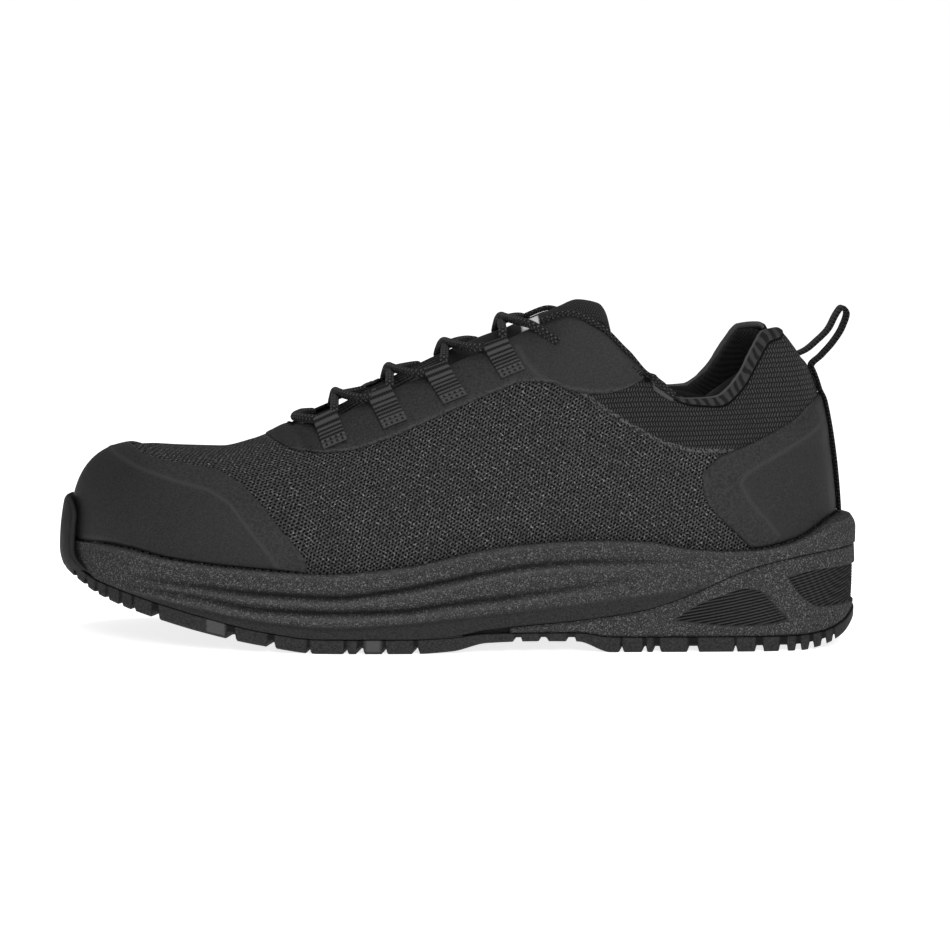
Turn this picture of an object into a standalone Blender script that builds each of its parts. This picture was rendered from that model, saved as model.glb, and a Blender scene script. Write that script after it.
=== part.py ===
"""Low safety sneaker, left shoe: knit upper with film overlays on a foam sole with a rubber tread.

Lengths in the tables are millimetres, and every vertex is turned into metres when its mesh is made.
X runs from the toe to the heel, +Y is the inner (medial) side of the foot and Z = 0 is the floor.
A place on the shoe's outline is a signed number u: 0 at the toe, -1 or 1 at the heel, negative on
the outer (lateral) side. |u| is called q.
"""
import math

import bmesh
import bpy
from mathutils import Vector

MM = 0.001
GAP = 0.3

LENGTH = 304.0
HALF_LENGTH = LENGTH / 2
STATIONS = 42

WALL = 2.2
OVERLAY = 0.8
OVERLAY_LIFT = 0.55
TOE_LIFT = 0.65
INSOLE_THICKNESS = 4.0
LIP_BEVEL = 2.2
LIP_LAND = 1.2
CARRIER_CLEAR = 2.6
WINDOW_DEPTH = 1.4

BUMPER_HALF_WIDTH = 0.082
BUMPER_FOOT = 0.036
BUMPER_TOP = 52.6
BUMPER_THICKNESS = 3.2

LACE_DIAMETER = 3.3
LOOP_THICKNESS = 1.2
WEBBING_THICKNESS = 1.8
WEBBING_WIDTH = 11.0


class Table:
    """Rows of named columns, read with a smooth curve between the values of the first column."""

    def __init__(self, names, rows):
        self.keys = [row[0] for row in rows]
        self.columns = {name: [row[i] for row in rows] for i, name in enumerate(names.split())}

    def at(self, name, key):
        keys = self.keys
        values = self.columns[name]
        if key <= keys[0]:
            return values[0]
        if key >= keys[-1]:
            return values[-1]
        i = max(k for k in range(len(keys) - 1) if keys[k] <= key)
        width = keys[i + 1] - keys[i]
        f = (key - keys[i]) / width
        rise = (values[i + 1] - values[i]) / width
        before = (values[i] - values[i - 1]) / (keys[i] - keys[i - 1]) if i > 0 else rise
        last = i + 2 >= len(keys)
        after = rise if last else (values[i + 2] - values[i + 1]) / (keys[i + 2] - keys[i + 1])
        start = self.slope(before, rise)
        end = self.slope(rise, after)
        h00 = 2 * f ** 3 - 3 * f ** 2 + 1
        h10 = f ** 3 - 2 * f ** 2 + f
        h01 = 3 * f ** 2 - 2 * f ** 3
        h11 = f ** 3 - f ** 2
        return h00 * values[i] + h10 * width * start + h01 * values[i + 1] + h11 * width * end

    @staticmethod
    def slope(a, b):
        return 0.0 if a * b <= 0 else 2 * a * b / (a + b)


# Plan outline of the sole, and how far inside it the upper and the front of the midsole stand
OUTLINE = Table("q lateral medial upper tuck", [
    (0.00, 7, 7, 5.0, 3.5),
    (0.05, -5, 19, 5.0, 3.5),
    (0.10, -16.5, 30, 5.0, 3.0),
    (0.15, -27.5, 40, 5.0, 0.4),
    (0.20, -38, 47, 5.0, 0.0),
    (0.25, -45.5, 51.5, 5.0, 0.0),
    (0.30, -50.5, 53.5, 5.0, 0.0),
    (0.35, -53, 54, 5.0, 0.0),
    (0.40, -54, 51, 5.0, 0.0),
    (0.45, -53, 46, 5.0, 0.0),
    (0.50, -50.5, 40.5, 5.0, 0.0),
    (0.56, -47, 36, 5.0, 0.0),
    (0.63, -43.5, 34.5, 5.0, 0.0),
    (0.70, -41.5, 35.5, 5.0, 0.0),
    (0.77, -39, 34.5, 5.5, 0.0),
    (0.84, -33.5, 29, 6.5, 0.0),
    (0.90, -24.5, 20, 7.5, 0.0),
    (0.95, -14, 9.5, 8.0, 0.0),
    (1.00, -2, -2, 8.0, 0.0),
])

# Heights along the sole: ground side, top of the rubber, parting line, footbed and lip
HEIGHTS = Table("x ground rubber parting footbed lip", [
    (-152, 25.5, 29.5, 29.5, 31.5, 36.0),
    (-146, 22.5, 26.8, 26.8, 31.0, 36.6),
    (-140, 19.8, 24.2, 24.2, 30.0, 37.0),
    (-128, 15.4, 20.8, 20.8, 27.5, 36.2),
    (-112, 10.8, 16.4, 16.4, 24.0, 33.4),
    (-98, 7.2, 12.8, 12.8, 21.5, 31.9),
    (-76, 2.8, 7.8, 7.8, 19.0, 30.3),
    (-54, 0.0, 5.2, 5.2, 18.0, 29.2),
    (-20, 0.0, 5.2, 5.2, 19.5, 32.4),
    (-5, 0.9, 5.9, 6.2, 21.0, 35.6),
    (8, 3.9, 7.2, 8.6, 22.5, 38.4),
    (25, 4.4, 7.4, 10.3, 24.5, 40.5),
    (42, 4.2, 7.3, 11.9, 26.5, 41.5),
    (55, 0.0, 5.6, 13.6, 27.8, 41.7),
    (68, 0.0, 5.5, 15.8, 28.6, 41.2),
    (84, 0.0, 5.5, 21.2, 29.4, 38.6),
    (98, 0.0, 5.5, 27.5, 30.0, 37.7),
    (110, 0.0, 5.5, 32.0, 30.4, 38.0),
    (126, 0.0, 5.6, 35.6, 30.8, 41.0),
    (137, 1.8, 6.8, 37.2, 31.0, 45.4),
    (145, 5.0, 9.4, 38.0, 31.2, 48.4),
    (152, 11.0, 14.0, 38.4, 31.4, 49.2),
])

# Top line of the upper: ridge of the toe box, throat edge, collar and back of the heel
TOP = Table("q x z lateral medial bluntness", [
    (0.000, -115, 72.3, 4.0, 4.0, 3.0),
    (0.200, -115, 72.3, 4.0, 4.0, 2.8),
    (0.260, -106, 71.9, 4.0, 4.0, 2.6),
    (0.310, -92, 71.8, 3.5, 3.5, 2.4),
    (0.350, -79, 75.0, 3.0, 3.0, 2.2),
    (0.385, -67, 79.6, 2.0, 2.0, 2.1),
    (0.405, -62, 80.6, -7.5, 11.0, 2.0),
    (0.430, -51, 83.2, -13.0, 15.5, 1.9),
    (0.470, -30, 93.0, -16.0, 17.5, 1.8),
    (0.510, -9, 103.0, -18.0, 18.5, 1.75),
    (0.550, 12, 113.0, -20.0, 20.0, 1.7),
    (0.580, 27, 120.0, -21.5, 21.0, 1.7),
    (0.600, 36.5, 123.4, -23.5, 22.5, 1.65),
    (0.625, 46, 119.6, -27.0, 25.5, 1.65),
    (0.655, 57, 109.4, -31.0, 28.5, 1.6),
    (0.685, 68, 99.6, -34.0, 31.0, 1.6),
    (0.715, 79, 95.0, -35.0, 32.0, 1.6),
    (0.745, 90, 95.6, -34.5, 31.5, 1.6),
    (0.775, 98.5, 102.6, -32.5, 29.5, 1.6),
    (0.805, 104.5, 113.0, -29.0, 26.5, 1.6),
    (0.835, 109.5, 119.8, -25.0, 22.5, 1.6),
    (0.870, 115, 120.6, -19.5, 17.0, 1.65),
    (0.910, 120.5, 116.0, -13.5, 11.0, 1.7),
    (0.955, 126, 110.0, -7.5, 5.0, 1.7),
    (1.000, 129, 108.0, -2.0, -2.0, 1.7),
])

# The collar is turned a little towards the outer side, as the heel of a left last is
COLLAR_SKEW = 0.055

# Two grooves and a set-back lower face run along each side of the midsole
BANDS = Table("x groove_1 groove_2 low_face deep_1 deep_2 deep_low", [
    (-135, 28.5, 25.5, 22.0, 0.0, 0.0, 0.0),
    (-118, 26.6, 23.0, 19.0, 0.5, 0.5, 0.2),
    (-98, 24.8, 20.4, 15.2, 1.0, 1.0, 0.7),
    (-76, 22.6, 16.8, 11.4, 1.3, 1.3, 0.9),
    (-50, 21.5, 15.8, 9.3, 1.4, 1.4, 0.9),
    (-25, 24.3, 16.5, 10.6, 1.4, 1.4, 0.9),
    (-6, 27.9, 19.0, 12.5, 1.4, 1.3, 0.8),
    (13, 31.6, 21.2, 14.4, 1.3, 1.2, 0.6),
    (31, 33.8, 23.6, 16.4, 1.2, 1.0, 0.3),
    (50, 34.6, 26.2, 18.6, 1.0, 0.6, 0.0),
    (69, 34.6, 29.1, 21.0, 0.6, 0.0, 0.0),
    (92, 34.0, 32.0, 24.0, 0.0, 0.0, 0.0),
])

# Overlay edges as the shoe shows them from its side
TOE_EDGE = Table("x z", [
    (-126.5, 73.2), (-118, 69.2), (-103, 66.8), (-93, 65.2), (-84, 60.8),
    (-76, 53.6), (-69, 45.2), (-62, 37.4), (-56, 28.0), (-50, 20.0),
])
EYESTAY_EDGE = Table("x z", [
    (-73, 76.4), (-62, 72.6), (-54, 72.3), (-45, 73.1), (-30, 77.6), (-17, 83.4), (-3, 89.8),
    (12, 96.3), (23, 100.0), (31, 99.6), (40, 96.6), (50, 95.8), (57, 97.0), (65, 101.0), (69, 106.0),
])
COUNTER_TOP = Table("x z", [
    (88, 66.0), (95, 73.2), (103, 76.4), (111, 79.9), (117, 83.0), (124, 86.8), (129, 91.0), (140, 97.0),
])
COUNTER_BOTTOM = Table("x z", [
    (88, 64.0), (90, 56.7), (97, 48.6), (105, 41.0), (112, 33.0), (120, 20.0),
])

COUNTER_TIP = (88.5, 64.8)

# Webbing loops for the lace: centre of the upper end and of the lower end, from the side
LACE_LOOPS = Table("number x_top z_top x_end z_end", [
    (1, -51.0, 83.4, -48.5, 76.2),
    (2, -31.0, 93.4, -26.5, 84.6),
    (3, -10.0, 102.6, -4.5, 94.2),
    (4, 12.0, 112.6, 17.0, 104.2),
])
LOOP_WIDTH = 9.6

EYELET = (35.0, 114.0)

# Recessed windows in the side of the heel carrier, as their lower and upper edges
SIDE_WINDOW = Table("x low high", [
    (79, 12.0, 12.6), (88, 10.8, 18.2), (98, 9.8, 21.8), (105, 9.6, 24.0), (110, 9.8, 23.4),
    (116, 10.4, 18.4), (122, 11.2, 12.2),
])
BACK_WINDOW = Table("x low high", [
    (122, 27.2, 28.4), (126, 22.0, 29.4), (131, 17.8, 30.2), (136, 16.2, 30.8), (145, 16.4, 31.0),
    (152, 16.6, 31.0),
])

# Tongue: line of its upper face, half widths to both sides, drop towards its edges, thickness
TONGUE = Table("s x z outer inner drop thick", [
    (0.00, -76.0, 73.1, 14.0, 14.0, 5.0, 2.5),
    (0.08, -66.0, 76.5, 20.0, 20.0, 11.0, 3.5),
    (0.16, -56.0, 80.4, 24.0, 23.0, 17.0, 5.0),
    (0.26, -42.0, 90.6, 26.0, 24.0, 27.0, 6.0),
    (0.42, -18.0, 103.6, 26.5, 23.0, 25.5, 6.0),
    (0.58, 5.0, 114.4, 26.5, 22.0, 22.0, 6.0),
    (0.74, 27.0, 122.6, 24.5, 20.5, 15.0, 6.5),
    (0.82, 36.5, 127.0, 22.0, 20.0, 11.0, 7.5),
    (0.88, 44.0, 129.8, 20.5, 19.5, 8.0, 8.5),
    (0.94, 52.0, 128.4, 19.0, 18.0, 6.0, 9.0),
    (1.00, 56.8, 121.6, 17.0, 16.0, 5.0, 6.5),
])
TONGUE_ROWS = 16
TONGUE_COLUMNS = 8

# Pull loop: its path from the collar, up, round and back to the heel
PULL_LOOP_PATH = [
    (128.8, 110.0), (131.6, 111.4), (135.6, 114.8), (140.0, 119.4), (143.2, 125.6), (145.2, 127.9),
    (147.0, 125.6), (145.4, 120.2), (141.9, 114.4), (137.6, 109.4),
]
HEEL_STRIP_STEPS = 12

# Slots between the lugs at the edge of the tread: place along the sole, width and depth
TREAD_SLOTS = [
    (-145.5, 1.2, 2.2), (-141.3, 1.2, 2.2), (-137.2, 1.2, 2.2), (-133.2, 1.2, 2.2), (-128.0, 1.3, 2.4),
    (-123.3, 1.3, 2.4), (-115.0, 2.7, 2.6), (-87.0, 3.4, 2.6), (-72.3, 2.8, 2.6), (-58.5, 1.4, 2.6),
    (-44.8, 1.4, 2.6), (-39.4, 2.6, 2.6), (-30.4, 1.6, 2.6), (-18.8, 2.2, 2.6), (19.3, 3.0, 1.6),
    (28.9, 3.0, 1.6), (39.4, 3.4, 1.6), (58.5, 1.2, 2.6), (67.3, 1.6, 2.6), (71.9, 2.6, 2.6),
    (85.6, 4.0, 2.6), (101.8, 1.0, 2.6), (111.0, 3.0, 2.6), (120.3, 3.2, 2.6), (126.2, 2.2, 2.6),
    (131.4, 1.9, 2.6), (136.5, 2.0, 2.4), (140.8, 1.0, 2.2),
]
TREAD_EDGE = 17.0


def clear_scene():
    for obj in list(bpy.data.objects):
        bpy.data.objects.remove(obj, do_unlink=True)


def material(name, colour, roughness):
    mat = bpy.data.materials.new(name)
    mat.use_nodes = True
    shader = mat.node_tree.nodes["Principled BSDF"]
    shader.inputs["Base Color"].default_value = (*colour, 1.0)
    shader.inputs["Roughness"].default_value = roughness
    return mat


def wrap(u):
    return (u + 1) % 2 - 1


def side_of(u):
    return "lateral" if wrap(u) < 0 else "medial"


def outline_point(u):
    u = wrap(u)
    q = abs(u)
    return Vector((-HALF_LENGTH * math.cos(math.pi * q), OUTLINE.at(side_of(u), q)))


def outline(u, inset=0.0):
    step = 0.004
    along = outline_point(u + step) - outline_point(u - step)
    outward = Vector((-along.y, along.x)).normalized()
    return outline_point(u) - outward * inset


def height(name, u):
    return HEIGHTS.at(name, outline_point(u).x)


def top_line(u):
    u = wrap(u)
    q = abs(u)
    y = TOP.at(side_of(u), q)
    collar = min(1.0, max(0.0, (q - 0.4) / 0.15))
    return Vector((TOP.at("x", q) - COLLAR_SKEW * collar * y, y, TOP.at("z", q)))


def upper_point(u, t):
    """Outer face of the upper: t = 0 is the lower edge inside the sole and t = 1 the top line."""
    low = outline(u, OUTLINE.at("upper", abs(wrap(u))))
    low_z = height("footbed", u) + GAP
    top = top_line(u)
    power = 2 / TOP.at("bluntness", abs(wrap(u)))
    angle = min(max(t, 0.0), 1.0) * math.pi / 2
    across = 1 - max(0.0, math.cos(angle)) ** power
    up = math.sin(angle) ** power
    return Vector((
        low.x + (top.x - low.x) * across,
        low.y + (top.y - low.y) * across,
        low_z + (top.z - low_z) * up,
    ))


def upper_normal(u, t):
    t = min(max(t, 0.03), 0.96)
    along = upper_point(u + 0.004, t) - upper_point(u - 0.004, t)
    up = upper_point(u, t + 0.02) - upper_point(u, t - 0.02)
    return up.cross(along).normalized()


def upper_offset(u, t, distance):
    return upper_point(u, t) + upper_normal(u, t) * distance


def t_at_height(u, z):
    low, high = 0.0, 1.0
    for _ in range(24):
        middle = (low + high) / 2
        if upper_point(u, middle).z < z:
            low = middle
        else:
            high = middle
    return (low + high) / 2


def t_at_edge(u, edge):
    """Where the side-view curve of an overlay's edge crosses the wall at u."""
    low, high = 0.0, 1.0
    for _ in range(24):
        middle = (low + high) / 2
        point = upper_point(u, middle)
        if point.z < edge.at("z", point.x):
            low = middle
        else:
            high = middle
    return (low + high) / 2


def locate(side, x, z):
    """The place (u, t) of a point that is given by its side view."""
    q = math.acos(max(-1.0, min(1.0, -x / HALF_LENGTH))) / math.pi
    t = 0.5
    for _ in range(40):
        t = t_at_height(side * q, z)
        q += (x - upper_point(side * q, t).x) / 600
        q = min(max(q, 0.02), 0.99)
    return side * q, t


def add_object(name, bm, mat):
    bmesh.ops.remove_doubles(bm, verts=bm.verts, dist=0.02 * MM)
    bmesh.ops.recalc_face_normals(bm, faces=bm.faces)
    if bm.calc_volume(signed=True) < 0:
        bmesh.ops.reverse_faces(bm, faces=bm.faces)
    mesh = bpy.data.meshes.new(name)
    bm.to_mesh(mesh)
    bm.free()
    mesh.shade_smooth()
    mesh.set_sharp_from_angle(angle=math.radians(35))
    mesh.materials.append(mat)
    obj = bpy.data.objects.new(name, mesh)
    bpy.context.scene.collection.objects.link(obj)
    return obj


def loft(name, rings, mat, capped=False):
    """A closed body through rings of equal size. Rings that fold flat close their own ends."""
    bm = bmesh.new()
    loops = [[bm.verts.new(Vector(p) * MM) for p in ring] for ring in rings]
    count = len(rings[0])
    for a, b in zip(loops, loops[1:]):
        for k in range(count):
            n = (k + 1) % count
            bm.faces.new((a[k], a[n], b[n], b[k]))
    if capped:
        bm.faces.new(loops[0])
        bm.faces.new(loops[-1][::-1])
    return add_object(name, bm, mat)


def plate(name, columns, rows, place, inner, outer, mat):
    """A slab between two offsets of the upper. place(a, b) gives (u, t) for a, b from 0 to 1."""
    rings = []
    for i in range(columns + 1):
        spots = [place(i / columns, j / rows) for j in range(rows + 1)]
        ring = [upper_offset(u, t, outer) for u, t in spots]
        ring += [upper_offset(u, t, inner) for u, t in reversed(spots)]
        rings.append(ring)
    return loft(name, rings, mat, capped=True)


def boolean(target, other, operation):
    cut = target.modifiers.new(operation.lower(), "BOOLEAN")
    cut.operation = operation
    cut.solver = "EXACT"
    cut.object = other
    other.hide_render = True
    other.display_type = "WIRE"
    other.hide_set(True)


def stations(count=STATIONS):
    return [i / count for i in range(count + 1)]


def build_upper(mat):
    """One shell, open at the throat and collar and underneath."""
    rows = 11
    columns = 66
    bm = bmesh.new()
    grid = []
    for i in range(columns):
        u = wrap(-1 + 2 * i / columns)
        grid.append([bm.verts.new(upper_point(u, j / rows) * MM) for j in range(rows + 1)])
    for a, b in zip(grid, grid[1:] + grid[:1]):
        for j in range(rows):
            bm.faces.new((a[j], a[j + 1], b[j + 1], b[j]))
    bmesh.ops.remove_doubles(bm, verts=bm.verts, dist=0.4 * MM)
    bmesh.ops.recalc_face_normals(bm, faces=bm.faces)
    mesh = bpy.data.meshes.new("upper")
    bm.to_mesh(mesh)
    bm.free()
    mesh.shade_smooth()
    mesh.materials.append(mat)
    obj = bpy.data.objects.new("upper", mesh)
    bpy.context.scene.collection.objects.link(obj)
    wall = obj.modifiers.new("wall", "SOLIDIFY")
    wall.thickness = WALL * MM
    wall.offset = -1
    wall.use_rim = True
    return obj


def band_inset(u, z):
    """How far the grooves and the set-back lower face lie inside the sole's outline."""
    x = outline_point(u).x
    groove_1 = math.exp(-((z - BANDS.at("groove_1", x)) / 1.7) ** 2) * BANDS.at("deep_1", x)
    groove_2 = math.exp(-((z - BANDS.at("groove_2", x)) / 1.7) ** 2) * BANDS.at("deep_2", x)
    below = 1 / (1 + math.exp((z - BANDS.at("low_face", x)) * 1.4))
    return groove_1 + groove_2 + below * BANDS.at("deep_low", x)


def midsole_half(u, rows=8):
    """Half a section of the midsole, from the bottom up its side, over the lip to the footbed."""
    q = abs(wrap(u))
    tuck = OUTLINE.at("tuck", q)
    rubber = height("rubber", u) + GAP
    parting = max(height("parting", u) + GAP, rubber)
    lip = height("lip", u)
    footbed = height("footbed", u)
    step = carrier_wall(u) + GAP if parting - rubber > 0.5 else tuck + band_inset(u, parting)
    lip_inset = min(tuck + LIP_BEVEL, OUTLINE.at("upper", q) - LIP_LAND)
    points = []
    for z in (rubber, parting):
        spot = outline(u, step)
        points.append((spot.x, spot.y, z))
    for j in range(rows + 1):
        f = j / rows
        z = parting + (lip - parting) * f
        bevel = max(0.0, (z - (lip - 5.0)) / 5.0)
        inset = tuck + band_inset(u, z) + (lip_inset - tuck) * bevel ** 2
        spot = outline(u, inset)
        points.append((spot.x, spot.y, z))
    inner = upper_offset(u, t_at_height(u, lip), GAP)
    points.append((inner.x, inner.y, lip))
    well = outline(u, OUTLINE.at("upper", q) - GAP)
    points.append((well.x, well.y, footbed))
    return points


def build_midsole(mat):
    rings = []
    for q in stations():
        lateral = midsole_half(-q if q < 1 else -1.0)
        medial = midsole_half(q if q < 1 else -1.0)
        rings.append(lateral[::-1] + medial)
    return loft("midsole", rings, mat)


def carrier_wall(u):
    """Thickness of the heel carrier, which leaves a foam wall between itself and the upper."""
    return OUTLINE.at("upper", abs(wrap(u))) - CARRIER_CLEAR


def carrier_outer(u, z):
    """The heel carrier's side swells a little below the parting line."""
    low = height("rubber", u)
    high = height("parting", u)
    f = (z - low) / max(1.0, high - low)
    return 0.5 * (1 - math.sin(math.pi * min(1.0, max(0.0, f))))


def build_heel_carrier(mat):
    rings = []
    start = 0.535
    count = 34
    rows = 7
    for i in range(count + 1):
        u = -start - (2 - 2 * start) * i / count
        low = height("rubber", u) + GAP
        high = max(height("parting", u), low + 0.6)
        ring = []
        for j in range(rows + 1):
            z = low + (high - low) * j / rows
            spot = outline(u, carrier_outer(u, z))
            ring.append((spot.x, spot.y, z))
        inner = outline(u, carrier_wall(u))
        ring.append((inner.x, inner.y, high))
        ring.append((inner.x, inner.y, low))
        rings.append(ring)
    carrier = loft("heel_carrier", rings, mat, capped=True)
    cut_windows(carrier, mat)
    return carrier


def window_cutter(name, us, window, mat):
    """Block between the two edges of a window, sunk a little into the carrier's side."""
    rings = []
    for u in us:
        x = outline_point(u).x
        low, high = window.at("low", x), window.at("high", x)
        face, back = outline(u, -3.0), outline(u, WINDOW_DEPTH)
        corners = [(face, low), (face, high), (back, high), (back, low)]
        rings.append([(point.x, point.y, level) for point, level in corners])
    return loft(name, rings, mat, capped=True)


def cut_windows(carrier, mat):
    """A three-sided window on each side and one that runs round the back of the heel."""
    steps = 10
    first, last = (math.acos(-x / HALF_LENGTH) / math.pi for x in (79.0, 122.0))
    for side, name in ((-1, "side_window_lateral"), (1, "side_window_medial")):
        us = [side * (first + (last - first) * i / steps) for i in range(steps + 1)]
        boolean(carrier, window_cutter(name, us, SIDE_WINDOW, mat), "DIFFERENCE")
    us = [-last - (2 - 2 * last) * i / (2 * steps) for i in range(2 * steps + 1)]
    boolean(carrier, window_cutter("back_window", us, BACK_WINDOW, mat), "DIFFERENCE")


def build_outsole(mat):
    rings = []
    for q in stations():
        halves = []
        for u in (-q if q < 1 else -1.0, q if q < 1 else -1.0):
            high = height("rubber", u)
            low = height("ground", u)
            edge_inset = OUTLINE.at("tuck", q) * 0.6 + 0.9 * BANDS.at("deep_low", outline_point(u).x)
            upper_edge = outline(u, edge_inset)
            middle = outline(u, edge_inset + 0.2)
            lower_edge = outline(u, edge_inset + 1.2)
            halves.append([
                (upper_edge.x, upper_edge.y, high),
                (middle.x, middle.y, low + 1.0),
                (lower_edge.x, lower_edge.y, low),
            ])
        rings.append(halves[0] + halves[1][::-1])
    outsole = loft("outsole", rings, mat)
    boolean(outsole, build_bumper(mat), "UNION")
    boolean(outsole, build_tread_cutters(mat), "DIFFERENCE")
    return outsole


def build_bumper(mat):
    """The rubber that turns up over the toe, wider at its foot and round at its top."""
    rings = []
    columns, rows = 12, 10
    low = height("ground", 0.0) + 0.8
    for i in range(columns + 1):
        across = 2 * i / columns - 1
        outer, inner = [], []
        for j in range(rows + 1):
            z = low + (BUMPER_TOP - low) * j / rows
            u = bumper_half(z) * across
            face = outline(u, 0.02 + bumper_lean(z))
            back = outline(u, min(BUMPER_THICKNESS, OUTLINE.at("tuck", abs(u)) - GAP))
            outer.append((face.x, face.y, z))
            inner.append((back.x, back.y, z))
        rings.append(outer + inner[::-1])
    return loft("bumper_form", rings, mat, capped=True)


def bumper_half(z):
    foot = min(1.0, max(0.0, (34 - z) / 8))
    crown = math.sqrt(max(0.0, 1 - (max(0.0, z - 45.0) / 9.2) ** 2))
    return (BUMPER_HALF_WIDTH + BUMPER_FOOT * foot ** 2) * crown


def bumper_lean(z):
    """How far the bumper's face curves in at its top and at its foot."""
    return 2.0 * max(0.0, (z - 34) / 19) ** 2 + 1.6 * max(0.0, (33 - z) / 7) ** 2


def tread_cutter(bm, slot, side):
    """A slot across one edge of the tread, a little slanted as the lugs are."""
    x, width, depth = slot
    q = math.acos(-x / HALF_LENGTH) / math.pi
    edge = outline(side * q)
    z = HEIGHTS.at("ground", x)
    made = bmesh.ops.create_cube(bm, size=1.0)["verts"]
    for vert in made:
        reach = (vert.co.y + 0.5) * (TREAD_EDGE + 4) - TREAD_EDGE
        y = edge.y + side * reach
        slant = 0.18 * (abs(edge.y) - abs(y))
        rise = depth if vert.co.z > 0 else -6.0
        vert.co = Vector((x + slant + vert.co.x * width, y, z + rise)) * MM


def build_tread_cutters(mat):
    bm = bmesh.new()
    for slot in TREAD_SLOTS:
        for side in (-1, 1):
            tread_cutter(bm, slot, side)
    return add_object("tread_slots", bm, mat)


def build_insole(mat):
    rings = []
    for q in stations(40):
        halves = []
        for u in (-q if q < 1 else -1.0, q if q < 1 else -1.0):
            inset = OUTLINE.at("upper", q) + WALL + 0.9
            spot = outline(u, inset)
            low = height("footbed", u) + GAP
            halves.append([(spot.x, spot.y, low), (spot.x, spot.y, low + INSOLE_THICKNESS)])
        rings.append(halves[0][::-1] + halves[1])
    return loft("insole", rings, mat)


def tongue_point(s, w):
    """Upper face of the tongue: s along it, w from -1 to 1 across it."""
    y = w * TONGUE.at("outer" if w < 0 else "inner", s)
    drop = TONGUE.at("drop", s) * abs(w) ** 1.8
    return Vector((TONGUE.at("x", s), y, TONGUE.at("z", s) - drop))


def build_tongue(mat):
    rings = []
    for i in range(TONGUE_ROWS + 1):
        s = i / TONGUE_ROWS
        along = tongue_point(min(1.0, s + 0.02), 0) - tongue_point(max(0.0, s - 0.02), 0)
        down = Vector((along.z, 0, -along.x)).normalized()
        face, back = [], []
        for k in range(TONGUE_COLUMNS + 1):
            w = 2 * k / TONGUE_COLUMNS - 1
            point = tongue_point(s, w)
            thickness = TONGUE.at("thick", s) * (1 - 0.55 * abs(w) ** 3)
            face.append(point)
            back.append(point + down * thickness)
        rings.append(face + back[::-1])
    return loft("tongue", rings, mat, capped=True)


def build_toe_overlay(mat):
    reach = 0.372

    def place(a, b):
        u = reach * (2 * a - 1)
        low = t_at_height(u, height("lip", u) + 0.5) if abs(u) > 0.12 else 0.12
        high = min(0.88, max(low + 0.03, t_at_edge(u, TOE_EDGE)))
        return u, low + (high - low) * b

    return plate("toe_overlay", 36, 7, place, TOE_LIFT, TOE_LIFT + OVERLAY, mat)


def build_eyestay(side, mat):
    def place(a, b):
        q = 0.392 + (0.694 - 0.392) * a
        low = min(0.93, t_at_edge(side * q, EYESTAY_EDGE))
        return side * q, low + (0.975 - low) * b

    name = "eyestay_lateral" if side < 0 else "eyestay_medial"
    return plate(name, 24, 4, place, OVERLAY_LIFT, OVERLAY_LIFT + OVERLAY, mat)


def build_heel_counter(mat):
    """Film round the heel that ends in a point on each side."""
    lateral, medial = (locate(side, *COUNTER_TIP)[0] for side in (-1, 1))

    def place(a, b):
        u = lateral + (medial - 2 - lateral) * a
        low = max(t_at_edge(u, COUNTER_BOTTOM), t_at_height(u, height("lip", u) + 0.5))
        high = max(t_at_edge(u, COUNTER_TOP), low + 0.02)
        return u, low + (high - low) * b

    return plate("heel_counter", 28, 4, place, OVERLAY_LIFT, OVERLAY_LIFT + OVERLAY, mat)


def build_lace_loop(side, number, mat):
    x_top = LACE_LOOPS.at("x_top", number)
    z_top = LACE_LOOPS.at("z_top", number)
    x_end = LACE_LOOPS.at("x_end", number)
    z_end = LACE_LOOPS.at("z_end", number)
    lift = OVERLAY_LIFT + OVERLAY + GAP

    def place(a, b):
        across = (a - 0.5) * LOOP_WIDTH
        x = x_end + (x_top - x_end) * b + across * 0.92
        z = z_end + (z_top - z_end) * b + across * 0.40
        u, t = locate(side, x, z)
        return u, min(t, 0.97)

    side_name = "lateral" if side < 0 else "medial"
    return plate(f"lace_loop_{side_name}_{number}", 3, 3, place, lift, lift + LOOP_THICKNESS, mat)


def webbing(name, path, normals, half_width, mat):
    """A flat strip that follows a path in the shoe's long plane."""
    rings = []
    for (x, z), (nx, nz) in zip(path, normals):
        dx, dz = nx * WEBBING_THICKNESS / 2, nz * WEBBING_THICKNESS / 2
        rings.append([
            (x + dx, -2 - half_width, z + dz),
            (x + dx, -2 + half_width, z + dz),
            (x - dx, -2 + half_width, z - dz),
            (x - dx, -2 - half_width, z - dz),
        ])
    return loft(name, rings, mat, capped=True)


def build_pull_loop(mat):
    """Loop above the collar and the strip that runs from it down the back of the heel."""
    on_knit = 0.35 + WEBBING_THICKNESS / 2
    on_film = OVERLAY_LIFT + OVERLAY + GAP + WEBBING_THICKNESS / 2
    path = list(PULL_LOOP_PATH)
    low = t_at_height(1.0, height("lip", 1.0) + 1.0)
    for i in range(HEEL_STRIP_STEPS + 1):
        t = 0.82 + (low - 0.82) * i / HEEL_STRIP_STEPS
        over_film = min(1.0, max(0.0, (102.0 - upper_point(1.0, t).z) / 5.0))
        point = upper_offset(1.0, t, on_knit + (on_film - on_knit) * over_film)
        path.append((point.x, point.z))
    normals = []
    for i in range(len(path)):
        a = path[max(0, i - 1)]
        b = path[min(len(path) - 1, i + 1)]
        length = math.hypot(b[0] - a[0], b[1] - a[1])
        normals.append(((b[1] - a[1]) / length, -(b[0] - a[0]) / length))
    return webbing("pull_loop", path, normals, WEBBING_WIDTH / 2, mat)


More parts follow.
